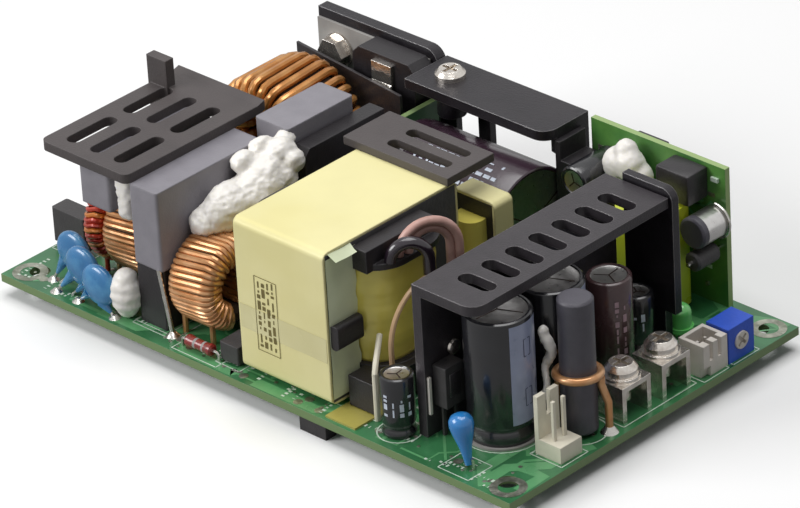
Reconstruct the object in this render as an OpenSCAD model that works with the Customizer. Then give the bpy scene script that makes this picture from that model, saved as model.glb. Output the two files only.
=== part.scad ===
// Open frame power supply: one printed circuit board, 5 by 3 inches, with its parts standing open.
// The origin is the centre of the board's underside. +X runs from the mains end to the output end,
// +Y from the front long side to the rear one, and +Z is up. Sizes are in millimetres.

/* [Board] */
// Length of the main board, along X
board_l = 127; // [127:0.5:160]
// Width of the main board, along Y
board_w = 76.2; // [76.2:0.1:95]
// Thickness of the main board
board_t = 1.6; // [1:0.1:3.2]
// Diameter of the four mounting holes
mount_d = 3.9; // [3:0.1:4.5]
// Distance of the hole centres from the board's edges
mount_inset = 5.08; // [4.5:0.02:5.6]
// How far trimmed leads and the tab reach below the board
lead_below = 3; // [1.5:0.1:4]

/* [Covers] */
// Height of the mains vent cover's top above the board
mains_cover_top = 30.4; // [30:0.1:36]
// Thickness of the moulded covers
cover_t = 1.9; // [1.2:0.1:2.1]
// Width of the vent slots in the mains cover
vent_w = 3; // [2:0.1:4]

/* [Heat sinks] */
// Height of the output heat sink's top above the board
sink_top = 30.2; // [29:0.1:36]
// Thickness of the output heat sink's sheet
sink_t = 2; // [1.2:0.1:2.6]
// Pitch of the slots in the output heat sink
sink_slot_pitch = 6; // [5:0.1:6.2]
// Height of the rear heat sink above the board
rear_sink_h = 29.6; // [28:0.1:36]
// Height of the bridge's top plate above the board
bridge_top = 28; // [27.5:0.1:34]

/* [Transformer] */
// Height of the main transformer above the board
trafo_h = 31.5; // [31:0.1:36]
// Depth of its core, along X
trafo_depth = 22; // [18:0.1:22.4]
// Length of its core, along Y
trafo_len = 34; // [30:0.1:34.5]

/* [Chokes] */
// Outer diameter of the two mains chokes
choke_d = 18; // [15:0.1:18.4]
// Outer diameter of the power factor choke
pfc_d = 26; // [22:0.1:26.4]
// Thickness of the power factor choke, along its axis
pfc_h = 18; // [14:0.1:18.2]

/* [Capacitors] */
// Diameter of the bulk capacitor
bulk_d = 22; // [18:0.1:22.1]
// Length of the bulk capacitor
bulk_l = 30; // [26:0.1:30.4]
// Diameter of the two tall output capacitors
output_cap_d = 12.5; // [10:0.1:12.7]
// Height of the two tall output capacitors
output_cap_h = 25; // [20:0.1:27]
// Length of the mains film capacitors
film_cap_l = 26.5; // [22:0.1:27]

/* [Trimmer] */
// Diameter of the trimmer's rotor
rotor_d = 3.4; // [2.6:0.1:4.2]
// Running clearance round the rotor
rotor_play = 0.05; // [0.02:0.01:0.08]

/* [Hidden] */
$fn = 40;
eps = 0.01;
inch = 25.4;

// A place on the board, measured from one of its corners: front left, front right, rear left, rear right
function fl(x, y) = [x - board_l / 2, y - board_w / 2];
function fr(x, y) = [board_l / 2 - x, y - board_w / 2];
function rl(x, y) = [x - board_l / 2, board_w / 2 - y];
function rr(x, y) = [board_l / 2 - x, board_w / 2 - y];
// Points given about a part's own centre, moved to its place p and turned by a degrees
function placed(p, pts, a = 0) =
  [for (q = pts) p + [q[0] * cos(a) - q[1] * sin(a), q[0] * sin(a) + q[1] * cos(a)]];
// Two leads a pitch apart along X or along Y, and a row of n
function pair_x(pitch) = [[-pitch / 2, 0], [pitch / 2, 0]];
function pair_y(pitch) = [[0, -pitch / 2], [0, pitch / 2]];
function row_y(n, pitch) = [for (i = [0 : n - 1]) [0, (i - (n - 1) / 2) * pitch]];
function row_x(n, pitch) = [for (i = [0 : n - 1]) [(i - (n - 1) / 2) * pitch, 0]];

module on_board(p, z = 0, a = 0) translate([p[0], p[1], board_t + z]) rotate([0, 0, a]) children();
// A box whose low corner on Z is at 0 and whose centre is on the Z axis
module block(l, w, h) translate([-l / 2, -w / 2, 0]) cube([l, w, h]);
module rounded_square(l, w, r) {
  square([l - 2 * r, w], center = true);
  square([l, w - 2 * r], center = true);
  for (x = [-1, 1], y = [-1, 1]) translate([x * (l / 2 - r), y * (w / 2 - r)]) circle(r = r);
}
module rounded_block(l, w, h, r) linear_extrude(h) rounded_square(l, w, r);
module slot2d(l, w) {
  square([l - w, w], center = true);
  for (s = [-1, 1]) translate([s * (l - w) / 2, 0]) circle(d = w);
}
// A straight wire from point a to point b
module wire(a, b, d) {
  v = b - a;
  translate(a) rotate([0, acos(v[2] / norm(v)), atan2(v[1], v[0])]) cylinder(d = d, h = norm(v));
}
// Upright leads at a part's own points, from the board up to h
module leads(pts, h, d) for (q = pts) translate([q[0], q[1], 0]) cylinder(d = d, h = h);

// ---------------------------------------------------------------- places of the parts on the board
fuse_at = fl(4.6, 15.3);
mains_header_at = fl(4.6, 43);
y_cap_at = [fl(13.4, 6.3), fl(17.4, 3.75), fl(22.8, 1.45)];
choke_axis_y = 18.3;
coloured_h = 4.4;
mains_choke_h = 10.8;
coloured_at = fl(12.4 + coloured_h / 2, choke_axis_y);
mains_choke_at = fl(12.4 + coloured_h + 0.2 + mains_choke_h / 2, choke_axis_y);
filter_choke_at = fl(45.4, 12.5);
relay_at = fl(35.8, 14.65);
film_1_at = fl(21.3, 19);
film_2_at = fl(36.1, 17.1);
film_3_at = fl(39.6, 41.8);
surge_at = fl(49.5, 2.7);
opto_at = fl(56.5, 6.2);
pfc_at = fl(21.25, 55.6);
rectifier_at = fl(46, 43.7);
trafo_at = fl(71, 20);
resonant_at = fl(82, 43.2);
bulk_at = rl(63.4, 16.5);
small_front_at = fr(31.1, 5.5);
drop_at = fr(12.8, 3.1);
cap_a_at = fr(16.9, 16.7);
cap_b_at = fr(17.1, 30.2);
brown_cap_at = fr(15.6, 43.8);
black_cap_at = fr(18.2, 53.6);
rod_at = fr(6.6, 25.4);
sense_header_at = fr(4.6, 17.6);
terminal_at = [fr(5.6, 35.3), fr(5.6, 45.7)];
fan_header_at = fr(4, 55);
trimmer_at = fr(3.6, 61.8);
lamp_at = fr(14.8, 61.4);
sink_x = 26.4;

film_pitch = 22.5;
lead_d = 0.8;
y_cap_pitch = 9.6;

// Every lead that is soldered through the board: its place and its diameter
function with_d(pts, d) = [for (q = pts) [q[0], q[1], d]];
SOLDERED = concat(
  with_d(placed(fuse_at, pair_x(5.08)), lead_d),
  with_d(placed(mains_header_at, row_y(3, 3.96)), 1.1),
  with_d([for (p = y_cap_at, q = pair_x(y_cap_pitch)) p + q], 0.6),
  with_d(placed(coloured_at, pair_y(10)), 0.8),
  with_d(placed(mains_choke_at, [for (x = [-3.5, 3.5], y = [-6, 6]) [x, y]]), 1),
  with_d(placed(filter_choke_at, [for (x = [-3.5, 3.5], y = [-6, 6]) [x, y]]), 1),
  with_d(placed(relay_at, [[-2, -8], [2, -8], [-2, 8], [2, 8]]), 1),
  with_d([film_2_at + [5, -film_pitch / 2 - 1.9], film_2_at + [4.4, film_pitch / 2]], lead_d),
  with_d(placed(surge_at, pair_x(9.2)), 0.6),
  with_d(placed(opto_at, [for (x = [-1.27, 1.27], y = [-2.2, 2.2]) [x, y]]), 0.6),
  with_d(placed(pfc_at, pair_y(10)), 1.4),
  with_d(placed(rectifier_at, row_y(4, 5.08)), 1.1),
  with_d(placed(trafo_at, [for (x = [-15, 15], y = [-10, -5, 0, 5, 10]) [x, y]]), 1),
  with_d(placed(resonant_at, [for (y = [-4, 4]) [0, y]]), 0.9),
  with_d([bulk_at + [-bulk_l / 2 - 3, -5], bulk_at + [-bulk_l / 2 - 3, 5]], 1),
  with_d(placed(small_front_at, pair_x(2.5)), 0.6),
  with_d(placed(drop_at, [[1, 0.4], [-1, 0.8]]), 0.6),
  with_d(placed(cap_a_at, pair_y(5)), 0.8),
  with_d(placed(cap_b_at, pair_y(5)), 0.8),
  with_d(placed(brown_cap_at, pair_y(3.5)), 0.6),
  with_d(placed(black_cap_at, pair_y(2.5)), 0.6),
  with_d(placed(rod_at, [[4.1, 3], [-4.3, -1.1]]), 1.4),
  with_d(placed(sense_header_at, pair_y(2.54)), 0.8),
  with_d([for (p = terminal_at, q = [[-2.6, -3.2], [-2.6, 3.2], [2.6, -3.2], [2.6, 3.2]]) p + q], 1.2),
  with_d(placed(fan_header_at, pair_y(2)), 0.6),
  with_d(placed(trimmer_at, [[-1.2, -2.5], [1.2, 0], [-1.2, 2.5]]), 0.6),
  with_d(placed(lamp_at, pair_y(2.54)), 0.6)
);

// ---------------------------------------------------------------- board
module main_board() {
  color("darkgreen") difference() {
    translate([-board_l / 2, -board_w / 2, 0]) cube([board_l, board_w, board_t]);
    for (p = [fl(mount_inset, mount_inset), fr(mount_inset, mount_inset),
              rl(mount_inset, mount_inset), rr(mount_inset, mount_inset)])
      translate([p[0], p[1], -1]) cylinder(d = mount_d, h = board_t + 2);
  }
}
// Trimmed lead ends in their solder fillets, on the board's underside: shorter near the front and right
// edges
function tip(q) = min(lead_below, 0.5 * min(q[1] + board_w / 2, board_l / 2 - q[0]));
module solder_joints() {
  color("silver") for (q = SOLDERED) {
    r = q[2] / 2;
    l = tip(q);
    fillet_w = q[2] < 0.7 ? 0.5 : 0.7;
    translate([q[0], q[1], -l]) rotate_extrude($fn = 24)
      polygon([[0, 0], [r, 0], [r, l - min(1, l * 0.7)], [r + fillet_w, l], [0, l]]);
  }
}
// Plastic tab under the front edge, below the transformer
module underside_tab() {
  tab_l = 6.4;
  tab_w = 2.6;
  p = fl(79.4, 0.4 + tab_w / 2);
  color("dimgray") translate([p[0], p[1], -lead_below]) block(tab_l, tab_w, lead_below);
}

// ---------------------------------------------------------------- mains side
module input_fuse() {
  stand = 1.4;
  body_h = 7;
  color("dimgray") on_board(fuse_at) {
    translate([0, 0, stand]) rounded_block(8.5, 4, body_h, 0.4);
    leads(pair_x(5.08), stand, lead_d);
  }
}
module mains_header() {
  header_l = 11.9;
  wall = 0.8;
  base_h = 3.4;
  color("ivory") on_board(mains_header_at) {
    difference() {
      union() {
        block(8.2, header_l, base_h);
        translate([3.4, 0, 0]) block(1.4, header_l - 2, 9.4);
      }
      for (s = [-1, 1]) translate([3.4, s * 3.2, base_h + 1.5]) block(2, 1.6, 8);
    }
    for (q = row_y(3, 3.96)) translate([q[0], q[1], base_h]) block(1.1, 1.1, 6.5);
  }
}
// Ceramic disc capacitor: the coat runs down both leads
module y_capacitor(i) {
  disc_d = 8.2;
  disc_t = 2.2;
  disc_z = 7;
  half = y_cap_pitch / 2;
  color("dodgerblue") on_board(y_cap_at[i]) {
    translate([0, 0, disc_z]) rotate([90, 0, 0]) rotate_extrude() {
      square([disc_d / 2 - disc_t / 2, disc_t / 2]);
      mirror([0, 1]) square([disc_d / 2 - disc_t / 2, disc_t / 2]);
      translate([disc_d / 2 - disc_t / 2, 0]) circle(d = disc_t);
    }
    for (s = [-1, 1]) {
      wire([s * 1.6, 0, disc_z - 1.6], [s * half, 0, 2.6], 1.5);
      translate([s * half, 0, 2.6]) sphere(d = 1.5);
      translate([s * half, 0, 0]) cylinder(d = 0.6, h = 2.6);
    }
  }
}
module y_capacitors() for (i = [0 : 2]) y_capacitor(i);

// Section of a toroid winding: w outward from the bore, h along the axis
module winding_section(w, h, r) {
  translate([r, 0]) square([w - 2 * r, h]);
  translate([0, r]) square([w, h - 2 * r]);
  for (x = [r, w - r], y = [r, h - r]) translate([x, y]) circle(r = r);
}
// Toroid choke standing on its rim, axis along X: a close winding of n turns on its core.
// The valley between each two turns is a groove that follows the section.
module toroid_choke(d_out, d_hole, h, n, wire_d) {
  w = (d_out - d_hole) / 2;
  groove = 0.3;
  deep = wire_d / 2;
  translate([0, 0, d_out / 2 + 0.8]) rotate([0, 90, 0]) difference() {
    rotate_extrude() translate([d_hole / 2, -h / 2]) winding_section(w, h, wire_d);
    for (i = [0 : n - 1]) rotate([90, 0, (i + 0.5) * 360 / n]) translate([0, 0, -groove / 2])
      linear_extrude(groove) difference() {
        translate([d_hole / 2 + w * 0.35, -h / 2 - 1]) square([w, h + 2]);
        translate([d_hole / 2 - 1, -h / 2 + deep]) square([w + 1 - deep, h - 2 * deep]);
      }
  }
}
module coloured_choke() {
  color("orangered") on_board(coloured_at) {
    toroid_choke(choke_d, 7, coloured_h, 26, 1.1);
    leads(pair_y(10), 3.4, 0.8);
  }
}
module mains_choke() {
  color("peru") on_board(mains_choke_at) {
    toroid_choke(choke_d, 7, mains_choke_h, 40, 1.1);
    leads([for (x = [-3.5, 3.5], y = [-6, 6]) [x, y]], 4.5, 1);
  }
}
module filter_choke() {
  color("peru") on_board(filter_choke_at) {
    toroid_choke(choke_d, 7, mains_choke_h, 40, 1.1);
    leads([for (x = [-3.5, 3.5], y = [-6, 6]) [x, y]], 4.5, 1);
  }
}
relay_h = 12.5;
module relay() {
  color("black") on_board(relay_at) rounded_block(7, 20.5, relay_h, 0.5);
}
// Potted film capacitor, its case open edges softened
module film_case(l, w, h) rounded_block(l, w, h, 0.6);
film_1_z = choke_d + 0.8 + 0.1;
module film_capacitor_1() {
  case_h = mains_cover_top - cover_t - film_1_z;
  color("slategray") on_board(film_1_at, film_1_z) film_case(7.6, film_cap_l, case_h);
}
module film_capacitor_2() {
  case_h = mains_cover_top - cover_t - relay_h;
  color("slategray") on_board(film_2_at) {
    translate([0, 0, relay_h]) film_case(7.1, film_cap_l, case_h);
    wire([2.6, -film_pitch / 2 - 1.9, relay_h + 0.3], [5, -film_pitch / 2 - 1.9, 0.1], lead_d);
    translate([5, -film_pitch / 2 - 1.9, 0]) cylinder(d = lead_d + 0.1, h = 0.3);
    translate([4.4, film_pitch / 2, 0]) cylinder(d = lead_d, h = relay_h - 1.2);
    wire([4.4, film_pitch / 2, relay_h - 1.2], [2.6, film_pitch / 2, relay_h + 0.3], lead_d);
  }
}
module film_capacitor_3() {
  color("slategray") on_board(film_3_at) film_case(8.4, 17, mains_cover_top);
}
module surge_resistor() {
  axis_z = 1.7;
  color("brown") on_board(surge_at) {
    translate([-3.3, 0, axis_z]) rotate([0, 90, 0]) cylinder(d = 2.4, h = 6.6);
    for (s = [-1, 1]) {
      translate([s * 3.3, 0, axis_z]) rotate([0, s * 90, 0]) cylinder(d = 0.6, h = 1.3);
      translate([s * 4.6, 0, axis_z]) sphere(d = 0.6);
      translate([s * 4.6, 0, 0]) cylinder(d = 0.6, h = axis_z);
    }
  }
}
module optocoupler() {
  color("dimgray") on_board(opto_at) {
    translate([0, 0, 0.6]) rounded_block(4.6, 6.4, 3.6, 0.3);
    for (x = [-1.27, 1.27], y = [-2.2, 2.2]) translate([x, y, 0]) cylinder(d = 0.6, h = 0.6);
  }
}
// Moulded cover over the mains filter: vented plate, raised rear lip and an upright post with its leg
module mains_vent_cover() {
  l = 22.2;
  w = 33.5;
  lip_w = 1.8;
  lip_rise = 0.5;
  post_l = 5;
  post_w = 2;
  slot_l = 11.6;
  z = mains_cover_top - cover_t;
  color("darkslategray") on_board(fl(10.8, 3)) {
    difference() {
      translate([0, 0, z]) linear_extrude(cover_t) difference() {
        union() {
          translate([1.5, 0]) square([l - 3, w]);
          translate([0, 1.5]) square([l, w - 1.5]);
          for (x = [1.5, l - 1.5]) translate([x, 1.5]) circle(r = 1.5);
        }
        for (col = [0 : 2], rw = [0, 1])
          translate([4.8 + col * 6.1, 8.5 + rw * 14.2]) rotate(90) slot2d(slot_l, vent_w);
      }
    }
    // raised rear lip
    translate([0, w - eps, z]) rotate([90, 0, 90]) linear_extrude(l)
      polygon([[0, 0], [lip_w, lip_rise], [lip_w, lip_rise + cover_t], [0, cover_t]]);
    // post above the plate, and the leg that carries the cover below it
    translate([-0.6, w - 5.5, 0]) cube([post_l, post_w, mains_cover_top + 5.6]);
  }
}
module power_factor_choke() {
  color("peru") on_board(pfc_at, 0, 90) toroid_choke(pfc_d, 10, pfc_h, 30, 1.7);
  color("peru") on_board(pfc_at) leads(pair_y(10), 3, 1.4);
}
// Bridge rectifier in a flat single-row package, one corner cut
module bridge_rectifier() {
  color("black") on_board(rectifier_at) {
    translate([-1.8, 0, 9]) rotate([90, 0, 90]) linear_extrude(3.6)
      polygon([[-10.3, 0], [10.3, 0], [10.3, 18.4], [-9, 18.4], [-10.3, 17.1]]);
    leads(row_y(4, 5.08), 9.1, 1.1);
  }
}

// ---------------------------------------------------------------- rear side
rear_sink_l = 30.6;
rear_sink_t = 2.4;
sink_bolt_at = [5.6, 22.4];
module rear_heat_sink() {
  r = 3;
  color("black") on_board(rl(12.7, 0.7 + rear_sink_t)) translate([0, rear_sink_t, 0]) rotate([90, 0, 0])
    difference() {
      linear_extrude(rear_sink_t) union() {
        square([rear_sink_l - r, rear_sink_h]);
        square([rear_sink_l, rear_sink_h - r]);
        translate([rear_sink_l - r, rear_sink_h - r]) circle(r = r);
      }
      // shallow groove along the top, and the bolt's hole
      translate([-1, rear_sink_h - 2.6, rear_sink_t - 0.4]) cube([rear_sink_l - 1, 0.5, 1]);
      translate([sink_bolt_at[0], sink_bolt_at[1], -1]) cylinder(d = 3.2, h = rear_sink_t + 2);
    }
}
pad_t = 0.6;
module heat_sink_pad() {
  color("lightgray") on_board(rl(12.9, 0.7 + rear_sink_t), 4) rotate([90, 0, 0]) linear_extrude(pad_t)
    difference() {
      square([rear_sink_l - 2, rear_sink_h - 6]);
      translate([sink_bolt_at[0] - 0.2, sink_bolt_at[1] - 4]) circle(d = 3.2);
    }
}
// Hexagon bolt with its washer, through the pad and the heat sink
module sink_bolt() {
  color("silver") on_board(rl(12.7 + sink_bolt_at[0], 0.7 + rear_sink_t + pad_t), sink_bolt_at[1])
    rotate([90, 0, 0]) {
      cylinder(d = 7, h = 0.6);
      translate([0, 0, 0.6 - eps]) cylinder(d = 6.2, h = 2.2, $fn = 6);
      translate([0, 0, -pad_t - rear_sink_t]) cylinder(d = 2.9, h = pad_t + rear_sink_t + eps);
    }
}
transistor_y = 0.7 + rear_sink_t + pad_t;
module switching_transistor() {
  body_t = 5;
  c = 1.6;
  color("black") on_board(rl(34.7, transistor_y)) {
    translate([0, 0, 8]) rotate([90, 0, 0]) linear_extrude(body_t)
      polygon([[-7.9, 0], [7.9, 0], [7.9, 20.4 - c], [7.9 - c, 20.4], [-7.9 + c, 20.4], [-7.9, 20.4 - c]]);
    for (x = [-5.45, 0, 5.45]) translate([x, -2.4, 0]) block(1.2, 0.6, 8 + eps);
  }
}
module transistor_clip() {
  color("silver") on_board(rl(34.7, transistor_y + 5)) translate([-2.5, 0, 0]) rotate([90, 0, 90])
    linear_extrude(5) polygon([[-0.6, 0], [0, 0], [0, 19], [-1.2, 21], [0, 23], [0, 27], [-0.7, 27],
      [-0.7, 23.2], [-1.9, 21.2], [-1.9, 20.8], [-0.6, 18.8]]);
}
module insulating_sheet() {
  color("black") on_board(rl(12.2, 8.9), 0, -7.2) cube([30.6, 0.5, 24.2]);
}
module sense_board() {
  color("green") on_board(rl(44, 16.2)) translate([-0.6, 0, 0]) cube([1.2, 11.4, 20.9]);
}
// Black sheet bracket: top plate, two rear legs and the right end flange
bridge_l = 35;
bridge_w = 11.5;
module bridge_bracket() {
  leg_t = 1.5;
  plate_t = 2;
  r = 3;
  color("black") on_board(rl(43.5, 0.7 + bridge_w)) {
    difference() {
      translate([0, 0, bridge_top - plate_t]) linear_extrude(plate_t) union() {
        square([bridge_l - r, bridge_w]);
        translate([0, r]) square([bridge_l, bridge_w - r]);
        translate([bridge_l - r, r]) circle(r = r);
      }
      translate([6.2, bridge_w / 2, bridge_top - plate_t - 1]) cylinder(d = 3.2, h = plate_t + 2);
    }
    for (x = [0, 8.6]) translate([x, bridge_w - leg_t, 0]) cube([3, leg_t, bridge_top - plate_t + eps]);
    // end flange, cut back where it passes the bulk capacitor
    translate([bridge_l - leg_t, 0, 0]) rotate([90, 0, 90]) linear_extrude(leg_t)
      polygon([[r, bridge_top - plate_t + eps], [r, 22.8], [7.3, 18.5], [7.3, 0], [bridge_w, 0],
        [bridge_w, bridge_top - plate_t + eps]]);
    // threaded boss below the screw
    difference() {
      translate([6.2, bridge_w / 2, bridge_top - plate_t - 5.5]) cylinder(d = 5.5, h = 5.5 + eps);
      translate([6.2, bridge_w / 2, bridge_top - plate_t - 6]) cylinder(d = 2.9, h = 7);
    }
  }
}
module pan_screw(head_d, head_h, shank_d, shank_l) {
  difference() {
    union() {
      rotate_extrude() polygon([[0, 0], [head_d / 2, 0], [head_d / 2, head_h * 0.5],
        [head_d * 0.36, head_h], [0, head_h]]);
      translate([0, 0, -shank_l]) cylinder(d = shank_d, h = shank_l + eps);
    }
    for (a = [0, 90]) rotate(a) translate([-head_d * 0.3, -0.4, head_h * 0.45])
      cube([head_d * 0.6, 0.8, head_h]);
  }
}
module bridge_screw() {
  color("silver") on_board(rl(43.5 + 6.2, 0.7 + bridge_w / 2), bridge_top) pan_screw(5.8, 1.8, 2.8, 7.5);
}
module bridge_diode() {
  color("black") on_board(rl(43.5 + bridge_l, 6.3)) {
    translate([0, -3.5, 8.6]) cube([4.2, 7, 13.4]);
    translate([0, -3.5, 22 - eps]) cube([1.2, 7, 3.8]);
    for (y = [-2.54, 0, 2.54]) translate([2, y - 0.4, 0]) cube([0.5, 0.8, 8.6 + eps]);
  }
}
// Electrolytic capacitor along +Z: grooved sleeve, top rim and vent cross
module electrolytic(d, h) {
  r = d / 2;
  bead = h * 0.12;
  difference() {
    rotate_extrude() polygon([[0, 0], [r - 0.5, 0], [r, 0.5], [r, bead], [r - 0.35, bead + 0.5],
      [r, bead + 1], [r, h - 0.4], [r - 0.4, h], [r - 0.8, h], [r - 1, h - 0.4], [0, h - 0.4]]);
    for (a = [30, 150, 270]) rotate(a) translate([0, -0.15, h - 0.6]) cube([r * 0.55, 0.3, 1]);
  }
}
bulk_z = bulk_d / 2 + 0.4;
module bulk_capacitor() {
  color("indigo") on_board(bulk_at) {
    translate([-bulk_l / 2, 0, bulk_z]) rotate([0, 90, 0]) electrolytic(bulk_d, bulk_l);
    for (y = [-5, 5]) {
      translate([-bulk_l / 2 - 3, y, 0]) cylinder(d = 1, h = bulk_z);
      translate([-bulk_l / 2 - 3, y, bulk_z]) sphere(d = 1);
      translate([-bulk_l / 2 - 3, y, bulk_z]) rotate([0, 90, 0]) cylinder(d = 1, h = 3.2);
    }
  }
}

// ---------------------------------------------------------------- transformers
// Taped core with its winding standing between the outer legs; the leads run along Z.
// depth is along X, len along Y. The tape is a closed band round the core, as wide as its depth.
module ee_core(depth, len, h, leg, yoke, tape) {
  l = len - 2 * tape;
  translate([-depth / 2, 0, tape]) rotate([90, 0, 90]) linear_extrude(depth) difference() {
    translate([-l / 2, 0]) square([l, h - 2 * tape]);
    translate([-l / 2 + leg, yoke]) square([l - 2 * leg, h - 2 * tape - 2 * yoke]);
  }
  translate([0, 0, tape + yoke - eps]) cylinder(r = leg, h = h - 2 * tape - 2 * yoke + 2 * eps);
}
module tape_band(depth, len, h, tape, r) {
  translate([-depth / 2, 0, h / 2]) rotate([90, 0, 90]) linear_extrude(depth) difference() {
    rounded_square(len, h, r);
    square([len - 2 * tape, h - 2 * tape], center = true);
  }
}
tape_t = 0.5;
trafo_base = 1;
trafo_leg = 6.4;
trafo_yoke = 4;
trafo_bulge = 5.5;
trafo_body_h = trafo_h - trafo_base;
window_l = trafo_len - 2 * tape_t - 2 * trafo_leg;
window_z = trafo_base + tape_t + trafo_yoke;
window_h = trafo_body_h - 2 * tape_t - 2 * trafo_yoke;
hub_wall = 1;
flange_t = 1.2;
module transformer_core() {
  color("dimgray") on_board(trafo_at, trafo_base)
    ee_core(trafo_depth, trafo_len, trafo_body_h, trafo_leg, trafo_yoke, tape_t);
}
module transformer_tape() {
  color("khaki") on_board(trafo_at, trafo_base)
    tape_band(trafo_depth, trafo_len, trafo_body_h, tape_t, 1.4);
}
// Winding and bobbin bulge out of the core on both sides, past its depth
module bulge_outline(play, bulge) rounded_square(trafo_depth + 2 * bulge, window_l - 2 * play, 7);
module transformer_winding() {
  color("gold") on_board(trafo_at, window_z + flange_t) linear_extrude(window_h - 2 * flange_t)
    difference() {
      bulge_outline(0.3, trafo_bulge);
      circle(r = trafo_leg + 0.1 + hub_wall);
    }
}
module transformer_bobbin() {
  rail_w = 6.4;
  rail_out = 1.4;
  rail_h = 6.6;
  color("black") on_board(trafo_at) {
    difference() {
      union() {
        translate([0, 0, window_z]) linear_extrude(flange_t) bulge_outline(0.2, trafo_bulge + 0.8);
        translate([0, 0, window_z + window_h - flange_t]) linear_extrude(flange_t)
          bulge_outline(0.2, trafo_bulge + 0.8);
        translate([0, 0, window_z]) cylinder(r = trafo_leg + 0.1 + hub_wall, h = window_h);
        // pin rails below the flange, beyond the core on both sides
        for (s = [[-1, 20, 4], [1, 28, 0]])
          translate([s[0] * (trafo_depth / 2 + rail_out + rail_w / 2), s[2], 0.6])
            block(rail_w, s[1], rail_h - 0.6);
        // wall on the upper flange, in front of the core
        translate([trafo_depth / 2 + 0.1, -10, window_z + window_h - flange_t]) cube([3.5, 17, 4.4]);
      }
      translate([0, 0, window_z - 1]) cylinder(r = trafo_leg + 0.1, h = window_h + 2);
      for (s = [-1, 1], y = [-5 : 5 : 10]) translate([s * (trafo_depth / 2 + rail_out + rail_w), y, 2.4])
        block(4, 2, rail_h - 4);
    }
    for (x = [-15, 15], y = [-10, -5, 0, 5, 10]) translate([x, y, 0]) cylinder(d = 1, h = 1);
  }
}
module transformer_mat() {
  color("olive") on_board(trafo_at) translate([11.4, -19.2, 0]) cube([7.2, 8.6, 0.4]);
}
module core_clip() {
  color("black") on_board(trafo_at, 12.4) translate([trafo_depth / 2 - 0.4, -trafo_len / 2 + 0.4, 0])
    translate([0.4, 0, 0]) rounded_clip();
}
module rounded_clip() {
  translate([1, 3.4, 0]) rotate([90, 0, 0]) translate([0, 2.4, 0]) linear_extrude(6.4, center = true)
    rounded_square(2, 4.8, 0.9);
}
// Arch of wire in a standing plane: from its start beside the flange, over, and straight down to the board
module arched_lead(start, r, a, top_z, d, sleeve_d) {
  translate([start[0], start[1], top_z]) rotate([90, 0, a]) translate([r, 0, 0])
    rotate_extrude(angle = 180) translate([r, 0]) circle(d = d);
  q = start + 2 * r * [cos(a), sin(a)];
  translate([q[0], q[1], 0]) cylinder(d = sleeve_d, h = top_z + 0.8);
}
module winding_leads() {
  flange_top = trafo_h - tape_t - trafo_yoke;
  out = trafo_depth / 2 + trafo_bulge;
  thin_r = 10;
  color("rosybrown") on_board(trafo_at) {
    arched_lead([out - 0.6, -3.2], 5.6, 64, flange_top, 1.6, 1.8);
    arched_lead([out - 0.2, -1.2], 3.9, 64, flange_top, 1.6, 1.8);
    arched_lead([out - 0.4, -5.6], 3.4, 50, flange_top, 2.2, 2.4);
    // thin wire from the sleeve down to the board, and the short lead beside it
    translate([out + 4, -1, 13.5]) rotate([90, 0, 90]) translate([0, 0, 0]) rotate([0, 0, 90])
      rotate_extrude(angle = 90) translate([thin_r, 0]) circle(d = 1);
    translate([out + 4, -1 - thin_r, 0]) cylinder(d = 1.1, h = 14);
    translate([out + 2.8, -14.2, 0]) cylinder(d = 1.1, h = 10);
    wire([out + 2.8, -14.2, 9.6], [out - 1.6, -8.2, 13], 0.9);
  }
}
module transformer_vent_cover() {
  l = 25.5;
  w = 12;
  t = 1.6;
  z = trafo_h + 0.1;
  color("darkslategray") on_board(fl(57, 34.3)) {
    translate([0, 0, z]) linear_extrude(t) difference() {
      square([l, w]);
      for (y = [3.8, 8.6]) translate([15.2, y]) slot2d(15, 2.6);
    }
    translate([0, w - 2.3, 0]) cube([2, 2.3, z + eps]);
  }
}
// Resonant coil: taped core, winding between flanges
reson_depth = 4.8;
reson_len = 10.5;
reson_h = 26;
reson_base = 0.8;
module resonant_core() {
  w = reson_len - 2 * tape_t;
  h = reson_h - 2 * tape_t;
  color("dimgray") on_board(resonant_at, reson_base, 90) translate([-reson_depth / 2, 0, tape_t])
    rotate([90, 0, 90]) linear_extrude(reson_depth) difference() {
      translate([-w / 2, 0]) square([w, h]);
      translate([-w / 2 + 1.6, 3]) square([w - 3.2, h - 6]);
    }
  color("dimgray") on_board(resonant_at, reson_base + tape_t + 3 - eps)
    cylinder(r = 2, h = reson_h - 2 * tape_t - 6 + 2 * eps);
}
module resonant_tape() {
  color("khaki") on_board(resonant_at, reson_base, 90)
    tape_band(reson_depth, reson_len, reson_h, tape_t, 1.2);
}
module resonant_winding() {
  inner_l = reson_len - 2 * tape_t - 3.4;
  z = reson_base + tape_t + 3 + 0.1;
  h = reson_h - 2 * tape_t - 6 - 0.2;
  color("gold") on_board(resonant_at) {
    difference() {
      translate([0, 0, z]) rounded_block(inner_l, 12, h, 2.6);
      translate([0, 0, z - 1]) cylinder(r = 2.1, h = h + 2);
    }
    for (y = [-4, 4]) translate([0, y, 0]) cylinder(d = 0.9, h = z + 1);
  }
}

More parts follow.
